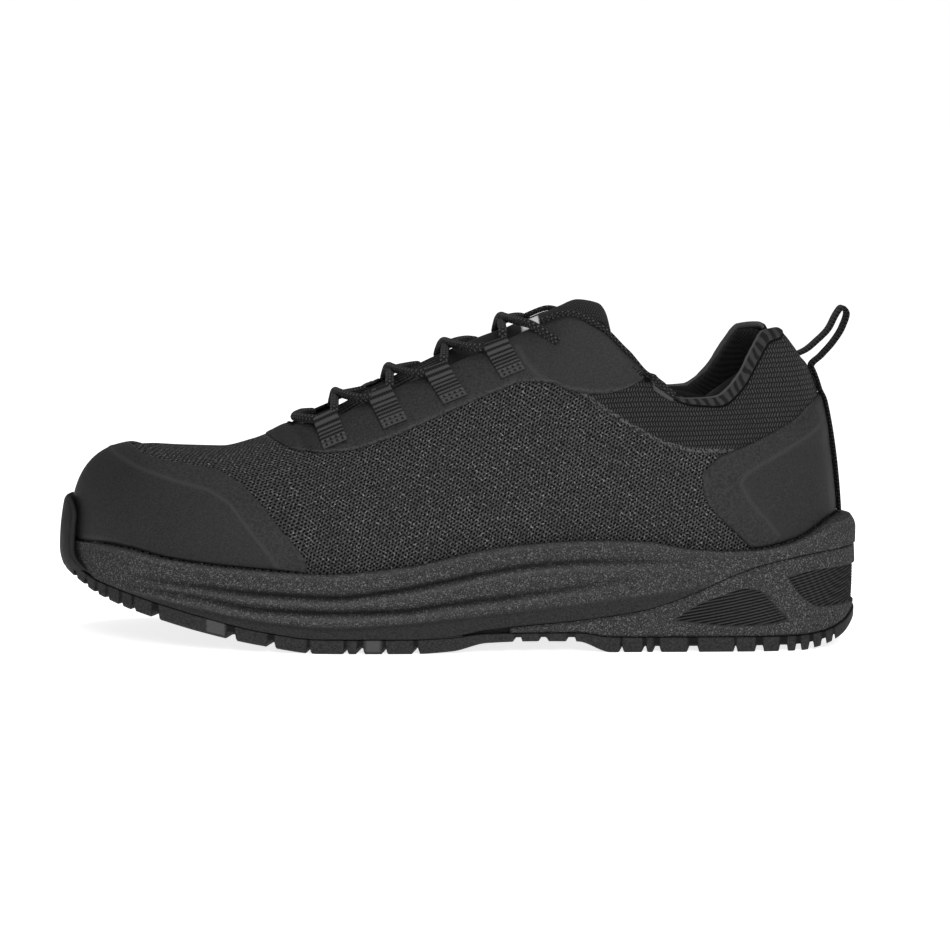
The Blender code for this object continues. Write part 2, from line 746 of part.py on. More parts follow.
def lace_anchor(side, number):
    """Centre of the lace on the outside of a loop, or at the top eyelet after the last loop."""
    lift = OVERLAY_LIFT + OVERLAY + LACE_DIAMETER / 2
    if number > 4:
        u, t = locate(side, *EYELET)
        return upper_offset(u, t, lift + 0.6)
    u, t = locate(side, LACE_LOOPS.at("x_top", number), LACE_LOOPS.at("z_top", number) - 1.0)
    return upper_offset(u, min(t, 0.93), lift + LOOP_THICKNESS + 1.3)


def lace_shoulder(side, x):
    """Centre of the lace where it passes over the edge of the throat."""
    low, high = 0.39, 0.62
    for _ in range(24):
        q = (low + high) / 2
        if top_line(side * q).x < x:
            low = q
        else:
            high = q
    return upper_offset(side * q, 1.0, OVERLAY_LIFT + OVERLAY + LOOP_THICKNESS + LACE_DIAMETER / 2 + 1.6)


def smooth_path(points, steps):
    keys = [0.0]
    for a, b in zip(points, points[1:]):
        keys.append(keys[-1] + (b - a).length)
    line = Table("k x y z", [(key, *point) for key, point in zip(keys, points)])
    places = [keys[-1] * i / steps for i in range(steps + 1)]
    return [Vector((line.at("x", k), line.at("y", k), line.at("z", k))) for k in places]


def lace_run(points, lift, steps):
    """A length of lace through points, raised where it would touch the tongue."""
    run = smooth_path(points, steps)
    raised = []
    for point in run:
        share = max(0.0, 1 - (point.y / 19) ** 2)
        need = tongue_height(point.x, point.y) + LACE_DIAMETER / 2 + lift
        raised.append(point + Vector((0, 0, max(0.0, need - point.z) * min(1.0, share * 3))))
    return raised


def tongue_height(x, y):
    low, high = 0.0, 1.0
    for _ in range(20):
        middle = (low + high) / 2
        if TONGUE.at("x", middle) < x:
            low = middle
        else:
            high = middle
    half = TONGUE.at("outer" if y < 0 else "inner", low)
    return tongue_point(low, max(-1.0, min(1.0, y / half))).z


def lace_crossing(side, number):
    start, end = lace_anchor(side, number), lace_anchor(-side, number + 1)
    first = lace_shoulder(side, start.x + 4.0)
    last = lace_shoulder(-side, end.x - 4.0 if number < 4 else 25.0)
    middle = (first + last) / 2 + Vector((-2.0, 0, 2.0 + 0.8 * side))
    return lace_run([start, first, middle, last, end], 1.2 + 0.4 * side, 9)


def sweep(name, path, diameter, mat, sides=5):
    """A round cord along a path."""
    rings = []
    for i, point in enumerate(path):
        along = (path[min(i + 1, len(path) - 1)] - path[max(i - 1, 0)]).normalized()
        right = along.cross(Vector((0, 0, 1))).normalized()
        up = right.cross(along)
        ring = []
        for k in range(sides):
            turn = 2 * math.pi * k / sides
            ring.append(point + (right * math.cos(turn) + up * math.sin(turn)) * (diameter / 2))
        rings.append(ring)
    return loft(name, rings, mat, capped=True)


def build_lace(mat):
    """One joined body: the front bar and a crossing between each two rows of loops."""
    start, end = lace_anchor(-1, 1), lace_anchor(1, 1)
    first, last = lace_shoulder(-1, start.x - 4.0), lace_shoulder(1, end.x - 4.0)
    middle = (first + last) / 2 + Vector((-4.0, 0, 1.5))
    lace = sweep("lace", lace_run([start, first, middle, last, end], 1.6, 9), LACE_DIAMETER, mat)
    for number in (1, 2, 3, 4):
        for side in (-1, 1):
            path = lace_crossing(side, number)
            crossing = sweep(f"crossing_{number}_{side + 1}", path, LACE_DIAMETER, mat)
            boolean(lace, crossing, "UNION")
    return lace


def main():
    clear_scene()
    knit = material("knit", (0.02, 0.02, 0.022), 0.85)
    film = material("film", (0.03, 0.03, 0.033), 0.6)
    foam = material("foam", (0.018, 0.018, 0.019), 0.7)
    rubber = material("tread_rubber", (0.022, 0.022, 0.024), 0.5)
    textile = material("textile", (0.015, 0.015, 0.016), 0.9)
    webbing_black = material("webbing", (0.02, 0.02, 0.02), 0.8)
    build_upper(knit)
    build_midsole(foam)
    build_heel_carrier(foam)
    build_outsole(rubber)
    build_insole(textile)
    build_tongue(textile)
    build_toe_overlay(film)
    build_heel_counter(film)
    for side in (-1, 1):
        build_eyestay(side, film)
        for number in (1, 2, 3, 4):
            build_lace_loop(side, number, webbing_black)
    build_pull_loop(webbing_black)
    build_lace(textile)


main()
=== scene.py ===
"""Looks of the low safety sneaker: black knit, film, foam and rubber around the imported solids.

Lengths are millimetres, and every vertex is turned into metres when its mesh is made. X runs from
the toe to the heel, +Y is the inner side of the foot and Z = 0 is the floor. A place on the shoe's
outline is a signed number u: 0 at the toe, -1 or 1 at the heel, negative on the outer side.
"""
import math

import bmesh
import bpy
import numpy as np
from mathutils import Matrix, Vector


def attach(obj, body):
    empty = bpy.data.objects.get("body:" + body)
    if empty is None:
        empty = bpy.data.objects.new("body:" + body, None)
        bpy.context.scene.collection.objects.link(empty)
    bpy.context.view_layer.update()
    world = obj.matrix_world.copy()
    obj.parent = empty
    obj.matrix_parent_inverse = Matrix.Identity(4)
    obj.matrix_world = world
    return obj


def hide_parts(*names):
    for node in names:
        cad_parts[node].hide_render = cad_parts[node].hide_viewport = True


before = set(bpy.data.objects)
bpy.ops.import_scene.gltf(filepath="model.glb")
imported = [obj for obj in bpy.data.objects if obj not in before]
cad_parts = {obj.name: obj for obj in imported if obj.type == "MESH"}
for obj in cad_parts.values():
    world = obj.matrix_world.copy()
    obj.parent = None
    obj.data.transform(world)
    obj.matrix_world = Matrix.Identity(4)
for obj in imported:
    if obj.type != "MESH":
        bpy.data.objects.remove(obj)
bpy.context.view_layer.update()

MM = 0.001
GAP = 0.3

HALF_LENGTH = 152.0
WALL = 2.2
OVERLAY = 0.8
OVERLAY_LIFT = 0.55
INSOLE_THICKNESS = 4.0
LIP_BEVEL = 2.2
LIP_LAND = 1.2
CARRIER_CLEAR = 2.6
CARRIER_START = 0.535
LUG_DEPTH = 2.6
WINDOW_DEPTH = 1.4
BUMPER_HALF_WIDTH = 0.082
BUMPER_FOOT = 0.036
BUMPER_LOW = 26.3
BUMPER_TOP = 52.6
BUMPER_LEAF = 1.7
LACE_DIAMETER = 3.3
LACE_STEPS = 90
CORD_SIDES = 14
LOOP_WIDTH = 9.6
LOOP_RIBS = 7.5
STRAP_THICKNESS = 1.4
WEBBING_WIDTH = 11.0
PIPING_RADIUS = 1.05
PIPING_START = 0.580
PIPING_END = 0.706
LINING_START = 0.60
LINING_DEPTH = 48.0
GROOVE_DEPTH = 1.4
RIB_PITCH = 1.15
EDGE_LIFT = 0.3
TOE_FILM_REACH = 0.372
EYESTAY_START = 0.364
EYESTAY_END = 0.694
FILM_SHEET = 0.5
TONGUE_LENGTH = 138.0
TONGUE_PATTERN_LENGTH = 145.0
LABEL_X = 25.5
LABEL_HALF_LENGTH = 3.3
LABEL_OUTER = -9.5
LABEL_INNER = 2.0
FOOT_FRONT = -0.10
FOOT_BACK = 0.095
FOOT_MIDDLE = 0.045
SIDES = ((-1, "lateral"), (1, "medial"))


class Table:
    """Rows of named columns, read with a smooth curve between the values of the first column."""

    def __init__(self, names, rows):
        columns = np.array(rows, float).T
        self.keys = columns[0]
        self.columns = dict(zip(names.split(), columns))
        self.slopes = {name: self.knot_slopes(values) for name, values in self.columns.items()}

    def knot_slopes(self, values):
        rise = np.diff(values) / np.diff(self.keys)
        before = np.concatenate([rise[:1], rise])
        after = np.concatenate([rise, rise[-1:]])
        total = np.where(before * after > 0, before + after, 1.0)
        return np.where(before * after > 0, 2 * before * after / total, 0.0)

    def at(self, name, key):
        keys, values, slopes = self.keys, self.columns[name], self.slopes[name]
        key = np.clip(key, keys[0], keys[-1])
        i = np.clip(np.searchsorted(keys, key, side="right") - 1, 0, len(keys) - 2)
        width = keys[i + 1] - keys[i]
        f = (key - keys[i]) / width
        h00 = 2 * f ** 3 - 3 * f ** 2 + 1
        h10 = f ** 3 - 2 * f ** 2 + f
        h01 = 3 * f ** 2 - 2 * f ** 3
        h11 = f ** 3 - f ** 2
        return h00 * values[i] + h10 * width * slopes[i] + h01 * values[i + 1] + h11 * width * slopes[i + 1]


# Plan outline of the sole, and how far inside it the upper and the front of the midsole stand
OUTLINE = Table("q lateral medial upper tuck", [
    (0.00, 7, 7, 5, 3.5),
    (0.05, -5, 19, 5, 3.5),
    (0.10, -16.5, 30, 5, 3),
    (0.15, -27.5, 40, 5, 0.4),
    (0.20, -38, 47, 5, 0),
    (0.25, -45.5, 51.5, 5, 0),
    (0.30, -50.5, 53.5, 5, 0),
    (0.35, -53, 54, 5, 0),
    (0.40, -54, 51, 5, 0),
    (0.45, -53, 46, 5, 0),
    (0.50, -50.5, 40.5, 5, 0),
    (0.56, -47, 36, 5, 0),
    (0.63, -43.5, 34.5, 5, 0),
    (0.70, -41.5, 35.5, 5, 0),
    (0.77, -39, 34.5, 5.5, 0),
    (0.84, -33.5, 29, 6.5, 0),
    (0.90, -24.5, 20, 7.5, 0),
    (0.95, -14, 9.5, 8, 0),
    (1.00, -2, -2, 8, 0),
])

# Heights along the sole: ground side, top of the rubber, parting line, footbed and lip
HEIGHTS = Table("x ground rubber parting footbed lip", [
    (-152, 25.5, 29.5, 29.5, 31.5, 36),
    (-146, 22.5, 26.8, 26.8, 31, 36.6),
    (-140, 19.8, 24.2, 24.2, 30, 37),
    (-128, 15.4, 20.8, 20.8, 27.5, 36.2),
    (-112, 10.8, 16.4, 16.4, 24, 33.4),
    (-98, 7.2, 12.8, 12.8, 21.5, 31.9),
    (-76, 2.8, 7.8, 7.8, 19, 30.3),
    (-54, 0, 5.2, 5.2, 18, 29.2),
    (-20, 0, 5.2, 5.2, 19.5, 32.4),
    (-5, 0.9, 5.9, 6.2, 21, 35.6),
    (8, 3.9, 7.2, 8.6, 22.5, 38.4),
    (25, 4.4, 7.4, 10.3, 24.5, 40.5),
    (42, 4.2, 7.3, 11.9, 26.5, 41.5),
    (55, 0, 5.6, 13.6, 27.8, 41.7),
    (68, 0, 5.5, 15.8, 28.6, 41.2),
    (84, 0, 5.5, 21.2, 29.4, 38.6),
    (98, 0, 5.5, 27.5, 30, 37.7),
    (110, 0, 5.5, 32, 30.4, 38),
    (126, 0, 5.6, 35.6, 30.8, 41),
    (137, 1.8, 6.8, 37.2, 31, 45.4),
    (145, 5, 9.4, 38, 31.2, 48.4),
    (152, 11, 14, 38.4, 31.4, 49.2),
])

# Top line of the upper: ridge of the toe box, throat edge, collar and back of the heel
TOP = Table("q x z lateral medial bluntness", [
    (0.000, -115, 72.3, 4, 4, 3),
    (0.200, -115, 72.3, 4, 4, 2.8),
    (0.260, -106, 71.9, 4, 4, 2.6),
    (0.310, -92, 71.8, 3.5, 3.5, 2.4),
    (0.350, -79, 75, 3, 3, 2.2),
    (0.385, -67, 79.6, 2, 2, 2.1),
    (0.405, -62, 80.6, -7.5, 11, 2),
    (0.430, -51, 83.2, -13, 15.5, 1.9),
    (0.470, -30, 93, -16, 17.5, 1.8),
    (0.510, -9, 103, -18, 18.5, 1.75),
    (0.550, 12, 113, -20, 20, 1.7),
    (0.580, 27, 120, -21.5, 21, 1.7),
    (0.600, 36.5, 123.4, -23.5, 22.5, 1.65),
    (0.625, 46, 119.6, -27, 25.5, 1.65),
    (0.655, 57, 109.4, -31, 28.5, 1.6),
    (0.685, 68, 99.6, -34, 31, 1.6),
    (0.715, 79, 95, -35, 32, 1.6),
    (0.745, 90, 95.6, -34.5, 31.5, 1.6),
    (0.775, 98.5, 102.6, -32.5, 29.5, 1.6),
    (0.805, 104.5, 113, -29, 26.5, 1.6),
    (0.835, 109.5, 119.8, -25, 22.5, 1.6),
    (0.870, 115, 120.6, -19.5, 17, 1.65),
    (0.910, 120.5, 116, -13.5, 11, 1.7),
    (0.955, 126, 110, -7.5, 5, 1.7),
    (1.000, 129, 108, -2, -2, 1.7),
])

# The collar is turned a little towards the outer side, as the heel of a left last is
COLLAR_SKEW = 0.055

# Two grooves and a set-back lower face run along each side of the midsole
BANDS = Table("x groove_1 groove_2 low_face deep_1 deep_2 deep_low", [
    (-135, 28.5, 25.5, 22, 0, 0, 0),
    (-118, 26.6, 23, 19, 0.5, 0.5, 0.2),
    (-98, 24.8, 20.4, 15.2, 1, 1, 0.7),
    (-76, 22.6, 16.8, 11.4, 1.3, 1.3, 0.9),
    (-50, 21.5, 15.8, 9.3, 1.4, 1.4, 0.9),
    (-25, 24.3, 16.5, 10.6, 1.4, 1.4, 0.9),
    (-6, 27.9, 19, 12.5, 1.4, 1.3, 0.8),
    (13, 31.6, 21.2, 14.4, 1.3, 1.2, 0.6),
    (31, 33.8, 23.6, 16.4, 1.2, 1, 0.3),
    (50, 34.6, 26.2, 18.6, 1, 0.6, 0),
    (69, 34.6, 29.1, 21, 0.6, 0, 0),
    (92, 34, 32, 24, 0, 0, 0),
])

# Overlay edges as the shoe shows them from its side
TOE_EDGE = Table("x z", [
    (-126.5, 73.2), (-118, 69.2), (-103, 66.8), (-93, 65.2), (-84, 60.8),
    (-76, 53.6), (-69, 45.2), (-62, 37.4), (-56, 28), (-50, 20),
])
EYESTAY_EDGE = Table("x z", [
    (-73, 76.4), (-62, 72.6), (-54, 72.3), (-45, 73.1), (-30, 77.6), (-17, 83.4), (-3, 89.8),
    (12, 96.3), (23, 100), (31, 99.6), (40, 96.6), (50, 95.8), (57, 97), (65, 101), (69, 106),
])
COUNTER_TOP = Table("x z", [
    (88, 66), (95, 73.2), (103, 76.4), (111, 79.9), (117, 83), (124, 86.8), (129, 91), (140, 97),
])
COUNTER_BOTTOM = Table("x z", [
    (88, 64), (90, 56.7), (97, 48.6), (105, 41), (112, 33), (120, 20),
])

# Webbing loops for the lace: centre of the upper end and of the lower end, from the side
LACE_LOOPS = Table("number x_top z_top x_end z_end", [
    (1, -51, 83.4, -48.5, 76.2),
    (2, -31, 93.4, -26.5, 84.6),
    (3, -10, 102.6, -4.5, 94.2),
    (4, 12, 112.6, 17, 104.2),
])

# Tongue: line of its upper face, half widths to both sides, drop towards its edges, thickness
TONGUE = Table("s x z outer inner drop thick", [
    (0.00, -76, 73.1, 14, 14, 5, 2.5),
    (0.08, -66, 76.5, 20, 20, 11, 3.5),
    (0.16, -56, 80.4, 24, 23, 17, 5),
    (0.26, -42, 90.6, 26, 24, 27, 6),
    (0.42, -18, 103.6, 26.5, 23, 25.5, 6),
    (0.58, 5, 114.4, 26.5, 22, 22, 6),
    (0.74, 27, 122.6, 24.5, 20.5, 15, 6.5),
    (0.82, 36.5, 127, 22, 20, 11, 7.5),
    (0.88, 44, 129.8, 20.5, 19.5, 8, 8.5),
    (0.94, 52, 128.4, 19, 18, 6, 9),
    (1.00, 56.8, 121.6, 17, 16, 5, 6.5),
])

# Pull loop: its path from the collar, up, round and back to the heel
PULL_LOOP_PATH = [
    (128.8, 110), (131.6, 111.4), (135.6, 114.8), (140, 119.4), (143.2, 125.6), (145.2, 127.9),
    (147, 125.6), (145.4, 120.2), (141.9, 114.4), (137.6, 109.4),
]

# Slots between the lugs at the edge of the tread: place along the sole, width and depth
TREAD_SLOTS = [
    (-145.5, 1.2, 2.2), (-141.3, 1.2, 2.2), (-137.2, 1.2, 2.2), (-133.2, 1.2, 2.2), (-128, 1.3, 2.4),
    (-123.3, 1.3, 2.4), (-115, 2.7, 2.6), (-87, 3.4, 2.6), (-72.3, 2.8, 2.6), (-58.5, 1.4, 2.6),
    (-44.8, 1.4, 2.6), (-39.4, 2.6, 2.6), (-30.4, 1.6, 2.6), (-18.8, 2.2, 2.6), (19.3, 3, 1.6),
    (28.9, 3, 1.6), (39.4, 3.4, 1.6), (58.5, 1.2, 2.6), (67.3, 1.6, 2.6), (71.9, 2.6, 2.6),
    (85.6, 4, 2.6), (101.8, 1, 2.6), (111, 3, 2.6), (120.3, 3.2, 2.6), (126.2, 2.2, 2.6),
    (131.4, 1.9, 2.6), (136.5, 2, 2.4), (140.8, 1, 2.2),
]
TREAD_INSERTS = [(-96.3, -89), (-37.6, -31.6)]
TREAD_EDGE = 17.0

# Lines pressed into the films, and the same lines carried on, to tell one side of them from the other
TOE_LINE = [(-134, 70.9), (-130, 68.4), (-121, 64.7), (-108, 60.9), (-96, 58.2), (-88, 53.6),
            (-84, 48.7), (-78, 41.5), (-73, 35.4), (-69, 29.9)]
COUNTER_LINE = [(133, 83.6), (128, 80), (119, 74.7), (111, 70.3), (105, 66.7), (103, 63.1),
                (107, 55.7), (113, 49.3), (118, 43.2)]
EYESTAY_LINE = [(19.5, 112), (22.5, 106.5), (26, 103), (30.5, 99.9), (36.5, 96.7)]
TOE_INNER = Table("x z", TOE_LINE + [(-64, 20)])
COUNTER_INNER = Table("z x", [(40, 121)] + [(z, x) for x, z in COUNTER_LINE[::-1]] + [(88, 142)])
EYESTAY_INNER = Table("z x", [(96, 38)] + [(z, x) for x, z in EYESTAY_LINE[3::-1]] + [(126, 14)])

# Lower edge of the collar panel, and the heel windows
COLLAR_EDGE = Table("x z", [(30, 101), (42, 95.9), (50, 90.4), (58, 85.4), (66, 80.9), (76, 76.2), (89, 74),
                            (101, 74), (152, 74)])
SIDE_WINDOW = Table("x low high", [
    (79, 12, 12.6), (88, 10.8, 18.2), (98, 9.8, 21.8), (105, 9.6, 24), (110, 9.8, 23.4),
    (116, 10.4, 18.4), (122, 11.2, 12.2),
])
BACK_WINDOW = Table("x low high", [
    (122, 27.2, 28.4), (126, 22, 29.4), (131, 17.8, 30.2), (136, 16.2, 30.8), (145, 16.4, 31),
    (152, 16.6, 31),
])

# Top eyelet and front tip of the heel film in side view, and the width of the collar's band
EYELET = (35, 114)
COUNTER_TIP = (88.5, 64.8)
BAND_PLACES = [0.66, 0.675, 0.70, 0.74, 0.80, 0.86, 0.885, 0.90]
BAND_WIDTHS = [-3, 0, 3, 4.8, 5.6, 5.6, 3, -3]

def wrap(u):
    """The place u, brought between -1 and 1."""
    return (u + 1) % 2 - 1


def by_side(table, u, key):
    return np.where(wrap(u) < 0, table.at("lateral", key), table.at("medial", key))


def outline_point(u):
    q = np.abs(wrap(u))
    return np.stack([-HALF_LENGTH * np.cos(np.pi * q), by_side(OUTLINE, u, q)], -1)


def outline(u, inset):
    """A point of the sole's outline, moved inwards by inset."""
    step = 0.004
    along = outline_point(u + step) - outline_point(u - step)
    outward = np.stack([-along[..., 1], along[..., 0]], -1)
    outward /= np.linalg.norm(outward, axis=-1, keepdims=True)
    return outline_point(u) - outward * np.asarray(inset)[..., None]


def height(name, u):
    return HEIGHTS.at(name, outline_point(u)[..., 0])


def on_outline(u, inset, z):
    spot = outline(u, inset)
    return np.stack([spot[..., 0], spot[..., 1], z + 0 * spot[..., 0]], -1)


def top_line(u):
    q = np.abs(wrap(u))
    y = by_side(TOP, u, q)
    collar = np.clip((q - 0.4) / 0.15, 0, 1)
    return np.stack([TOP.at("x", q) - COLLAR_SKEW * collar * y, y, TOP.at("z", q)], -1)


def upper_point(u, t):
    """Outer face of the upper: t = 0 is the lower edge inside the sole and t = 1 the top line."""
    q = np.abs(wrap(u))
    low = on_outline(u, OUTLINE.at("upper", q), height("footbed", u) + GAP)
    top = top_line(u)
    power = 2 / TOP.at("bluntness", q)
    angle = np.clip(t, 0, 1) * np.pi / 2
    across = 1 - np.maximum(0, np.cos(angle)) ** power
    up = np.sin(angle) ** power
    share = np.stack([across, across, up], -1)
    return low + (top - low) * share


def upper_normal(u, t):
    """Outward direction of the upper, kept steady near its two edges."""
    t = np.clip(t, 0.03, 0.96)
    along = upper_point(u + 0.004, t) - upper_point(u - 0.004, t)
    up = upper_point(u, t + 0.02) - upper_point(u, t - 0.02)
    normal = np.cross(up, along)
    return normal / np.linalg.norm(normal, axis=-1, keepdims=True)


def upper_offset(u, t, distance):
    return upper_point(u, t) + upper_normal(u, t) * np.asarray(distance)[..., None]


def girth(u, t):
    """Length over the upper's face from its lower edge up to t."""
    steps = 10
    total = 0.0
    before = upper_point(u, 0 * t)
    for i in range(1, steps + 1):
        point = upper_point(u, t * i / steps)
        total = total + np.linalg.norm(point - before, axis=-1)
        before = point
    return total


def search(too_low, shape):
    """The shares from 0 to 1 at which too_low turns false, found by halving."""
    low, high = np.zeros(shape), np.ones(shape)
    for _ in range(22):
        middle = (low + high) / 2
        below = too_low(middle)
        low = np.where(below, middle, low)
        high = np.where(below, high, middle)
    return (low + high) / 2


def t_at_height(u, z):
    return search(lambda t: upper_point(u, t)[..., 2] < z, np.shape(u))


def t_at_edge(u, edge):
    """Where the side-view curve of an overlay's edge crosses the wall at u."""
    def below(t):
        point = upper_point(u, t)
        return point[..., 2] < edge.at("z", point[..., 0])
    return search(below, np.shape(u))


def locate(side, x, z):
    """The place (u, t) of points that are given by their side view."""
    x, z = np.asarray(x, float), np.asarray(z, float)
    q = np.arccos(np.clip(-x / HALF_LENGTH, -1, 1)) / np.pi
    t = 0.5 + 0 * q
    for _ in range(30):
        t = t_at_height(side * q, z)
        q = np.clip(q + (x - upper_point(side * q, t)[..., 0]) / 600, 0.02, 0.99)
    return side * q, t


def distance_to(line, x, z):
    """Distance in side view to a line through points."""
    best = np.full(np.shape(x), 1e9)
    for (x0, z0), (x1, z1) in zip(line, line[1:]):
        dx, dz = x1 - x0, z1 - z0
        f = np.clip(((x - x0) * dx + (z - z0) * dz) / (dx * dx + dz * dz), 0, 1)
        best = np.minimum(best, np.hypot(x - x0 - f * dx, z - z0 - f * dz))
    return best


def smooth(x):
    x = np.clip(x, 0, 1)
    return x * x * (3 - 2 * x)


def bump_of(x, width):
    return np.exp(-(x / width) ** 2)


def edge_round(distance, width):
    """Rises from 0 at an edge to 1 at width from it, as a rounded edge does."""
    return np.sqrt(1 - (1 - np.clip(distance / width, 0, 1)) ** 2)


def form(name, columns, rows, place, material, joined=0.02, closed=False):
    """A grid of cells that is moved onto the surface place(a, b) gives, with its named marks."""
    bm = bmesh.new()
    bmesh.ops.create_grid(bm, x_segments=columns, y_segments=rows, size=1.0)
    flat = np.array([v.co[:] for v in bm.verts])
    points, marks = place((flat[:, 0] + 1) / 2, (flat[:, 1] + 1) / 2)
    layers = [(bm.verts.layers.float.new(key), values) for key, values in marks.items()]
    for i, vert in enumerate(bm.verts):
        vert.co = points[i] * MM
        for layer, values in layers:
            vert[layer] = values[i]
    bmesh.ops.remove_doubles(bm, verts=bm.verts, dist=joined * MM)
    bmesh.ops.dissolve_degenerate(bm, edges=bm.edges, dist=0.001 * MM)
    bmesh.ops.recalc_face_normals(bm, faces=bm.faces)
    if closed:
        inside_out = bm.calc_volume(signed=True) < 0
    else:
        inside_out = sum(outward_share(face) for face in bm.faces) < 0
    if inside_out:
        bmesh.ops.reverse_faces(bm, faces=bm.faces)
    mesh = bpy.data.meshes.new(name)
    bm.to_mesh(mesh)
    bm.free()
    mesh.shade_smooth()
    mesh.materials.append(material)
    piece = bpy.data.objects.new(name, mesh)
    bpy.context.scene.collection.objects.link(piece)
    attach(piece, "root")
    return piece


def outward_share(face):
    """How far a face looks away from the middle of the foot, weighted by its area."""
    centre = face.calc_center_median()
    inside = Vector((min(max(centre.x, FOOT_FRONT), FOOT_BACK), 0.0, FOOT_MIDDLE))
    return face.normal.dot(centre - inside) * face.calc_area()


def thicken(piece, thickness):
    """Gives a sheet its thickness, inwards from its face."""
    wall = piece.modifiers.new("wall", "SOLIDIFY")
    wall.thickness = thickness * MM
    wall.offset = -1.0


def stands_for(node):
    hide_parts(node)


class Value:
    """A number socket that Python's operators work on."""

    def __init__(self, paint, socket):
        self.paint = paint
        self.socket = socket

    def math(self, operation, *others):
        values = dict(enumerate((self, *others)))
        return self.paint.node("ShaderNodeMath", {"operation": operation}, values)

    def __add__(self, other):
        return self.math("ADD", other)

    def __sub__(self, other):
        return self.math("SUBTRACT", other)

    def __mul__(self, other):
        return self.math("MULTIPLY", other)

    def __truediv__(self, other):
        return self.math("DIVIDE", other)

    __radd__ = __add__
    __rmul__ = __mul__

    def __rsub__(self, other):
        return self * -1.0 + other

    def wave(self, length):
        """A sine of the given length in millimetres, from -1 to 1."""
        return (self * (2 * math.pi / length)).math("SINE")

    def ripple(self, length):
        """A sine of the given length in millimetres, from 0 to 1."""
        return self.wave(length) * 0.5 + 0.5

    def step(self, low, high):
        """0 at low, 1 at high and smooth between."""
        settings = {"interpolation_type": "SMOOTHSTEP"}
        return self.paint.node("ShaderNodeMapRange", settings, {0: self, 1: low, 2: high})


def grey(level):
    return (level, level, level, 1.0)


class Paint:
    """One finish: a Principled shader and the nodes that vary it."""

    def __init__(self, name, roughness, specular, sheen=0.0):
        self.material = bpy.data.materials.new(name)
        self.material.use_nodes = True
        self.tree = self.material.node_tree
        self.shader = self.tree.nodes["Principled BSDF"]
        self.shader.inputs["Roughness"].default_value = roughness
        self.shader.inputs["Specular IOR Level"].default_value = specular
        self.shader.inputs["Sheen Weight"].default_value = sheen
        self.shader.inputs["Sheen Roughness"].default_value = 0.5

    def node(self, kind, settings=None, values=None, output=0):
        """Adds a node with its settings, its sockets fed, and gives one of its outputs."""
        node = self.tree.nodes.new(kind)
        for key, value in (settings or {}).items():
            setattr(node, key, value)
        for key, value in (values or {}).items():
            self.feed(node.inputs[key], value)
        return Value(self, node.outputs[output])

    def feed(self, socket, value):
        if isinstance(value, Value):
            self.tree.links.new(value.socket, socket)
        else:
            socket.default_value = value

    def marks(self, names):
        """The named marks that a piece's form leaves on its surface."""
        kind = "ShaderNodeAttribute"
        return [self.node(kind, {"attribute_name": name}, output="Fac") for name in names.split()]

    def place(self):
        return self.node("ShaderNodeTexCoord", output="Object")

    def point(self, x, y):
        return self.node("ShaderNodeCombineXYZ", values={0: x, 1: y})

    def noise(self, size, detail=3.0, vector=None, roughness=0.5):
        """Noise whose clouds are about size millimetres across."""
        scale = 1.0 / size if vector else 1000.0 / size
        values = {"Vector": vector or self.place(), "Scale": scale, "Detail": detail, "Roughness": roughness}
        return self.node("ShaderNodeTexNoise", values=values, output="Fac")

    def specks(self, size):
        """One random number for each cell, about size millimetres across."""
        values = {"Vector": self.place(), "Scale": 1000.0 / size}
        cells = self.node("ShaderNodeTexVoronoi", values=values, output="Color")
        return self.node("ShaderNodeSeparateColor", values={0: cells})

    def mix(self, share, first, second):
        """A colour between two, by a share from 0 to 1. A plain number is a level of grey."""
        first, second = (grey(c) if isinstance(c, float) else c for c in (first, second))
        values = {0: share, 6: first, 7: second}
        return self.node("ShaderNodeMix", {"data_type": "RGBA"}, values, output=2)

    def finish(self, colour, roughness=None, relief=None, depth=0.1):
        """Feeds the shader. relief is a height from 0 to 1 that stands for depth in millimetres."""
        self.feed(self.shader.inputs["Base Color"], colour)
        if roughness is not None:
            self.feed(self.shader.inputs["Roughness"], roughness)
        if relief is not None:
            values = {"Strength": 1.0, "Distance": depth * MM, "Height": relief}
            self.feed(self.shader.inputs["Normal"], self.node("ShaderNodeBump", values=values))
        return self.material


def turned(x, y, degrees):
    """Pattern coordinates turned by an angle."""
    c, s = math.cos(math.radians(degrees)), math.sin(math.radians(degrees))
    return x * c + y * s, y * c - x * s


def mesh_knit(paint, along, up):
    """Open jacquard: dark pits in slanted rows that wander a little, and where pale yarn shows."""
    sway = (paint.noise(4.0, 1.0) - 0.5) * 1.3
    p, r = turned(along + sway, up + sway * 0.7, -38)
    pits = r.wave(2.8) * p.wave(1.3)
    rows = (r + 0.35).wave(1.4)
    height = pits * 0.36 + rows * 0.16 + (paint.noise(0.5, 2.0) - 0.5) * 0.6 + 0.5
    chance = paint.noise(0.8, 1.0, paint.point(p * 0.5, r * 1.4))
    return height, chance


def fine_knit(paint, along, up):
    """Level rows of small slanted stitches, which lean the other way in each next row."""
    row = up / 1.9
    lean = (row.math("FLOOR") * 0.5).math("FRACT") * 4.0 - 1.0
    inside = row.math("FRACT")
    sway = (paint.noise(3.0, 1.0) - 0.5) * 1.0
    stitch = (along + sway + inside * lean * 0.6).ripple(1.05)
    ridge = (inside * math.pi).math("SINE").math("POWER", 0.5)
    return stitch * ridge


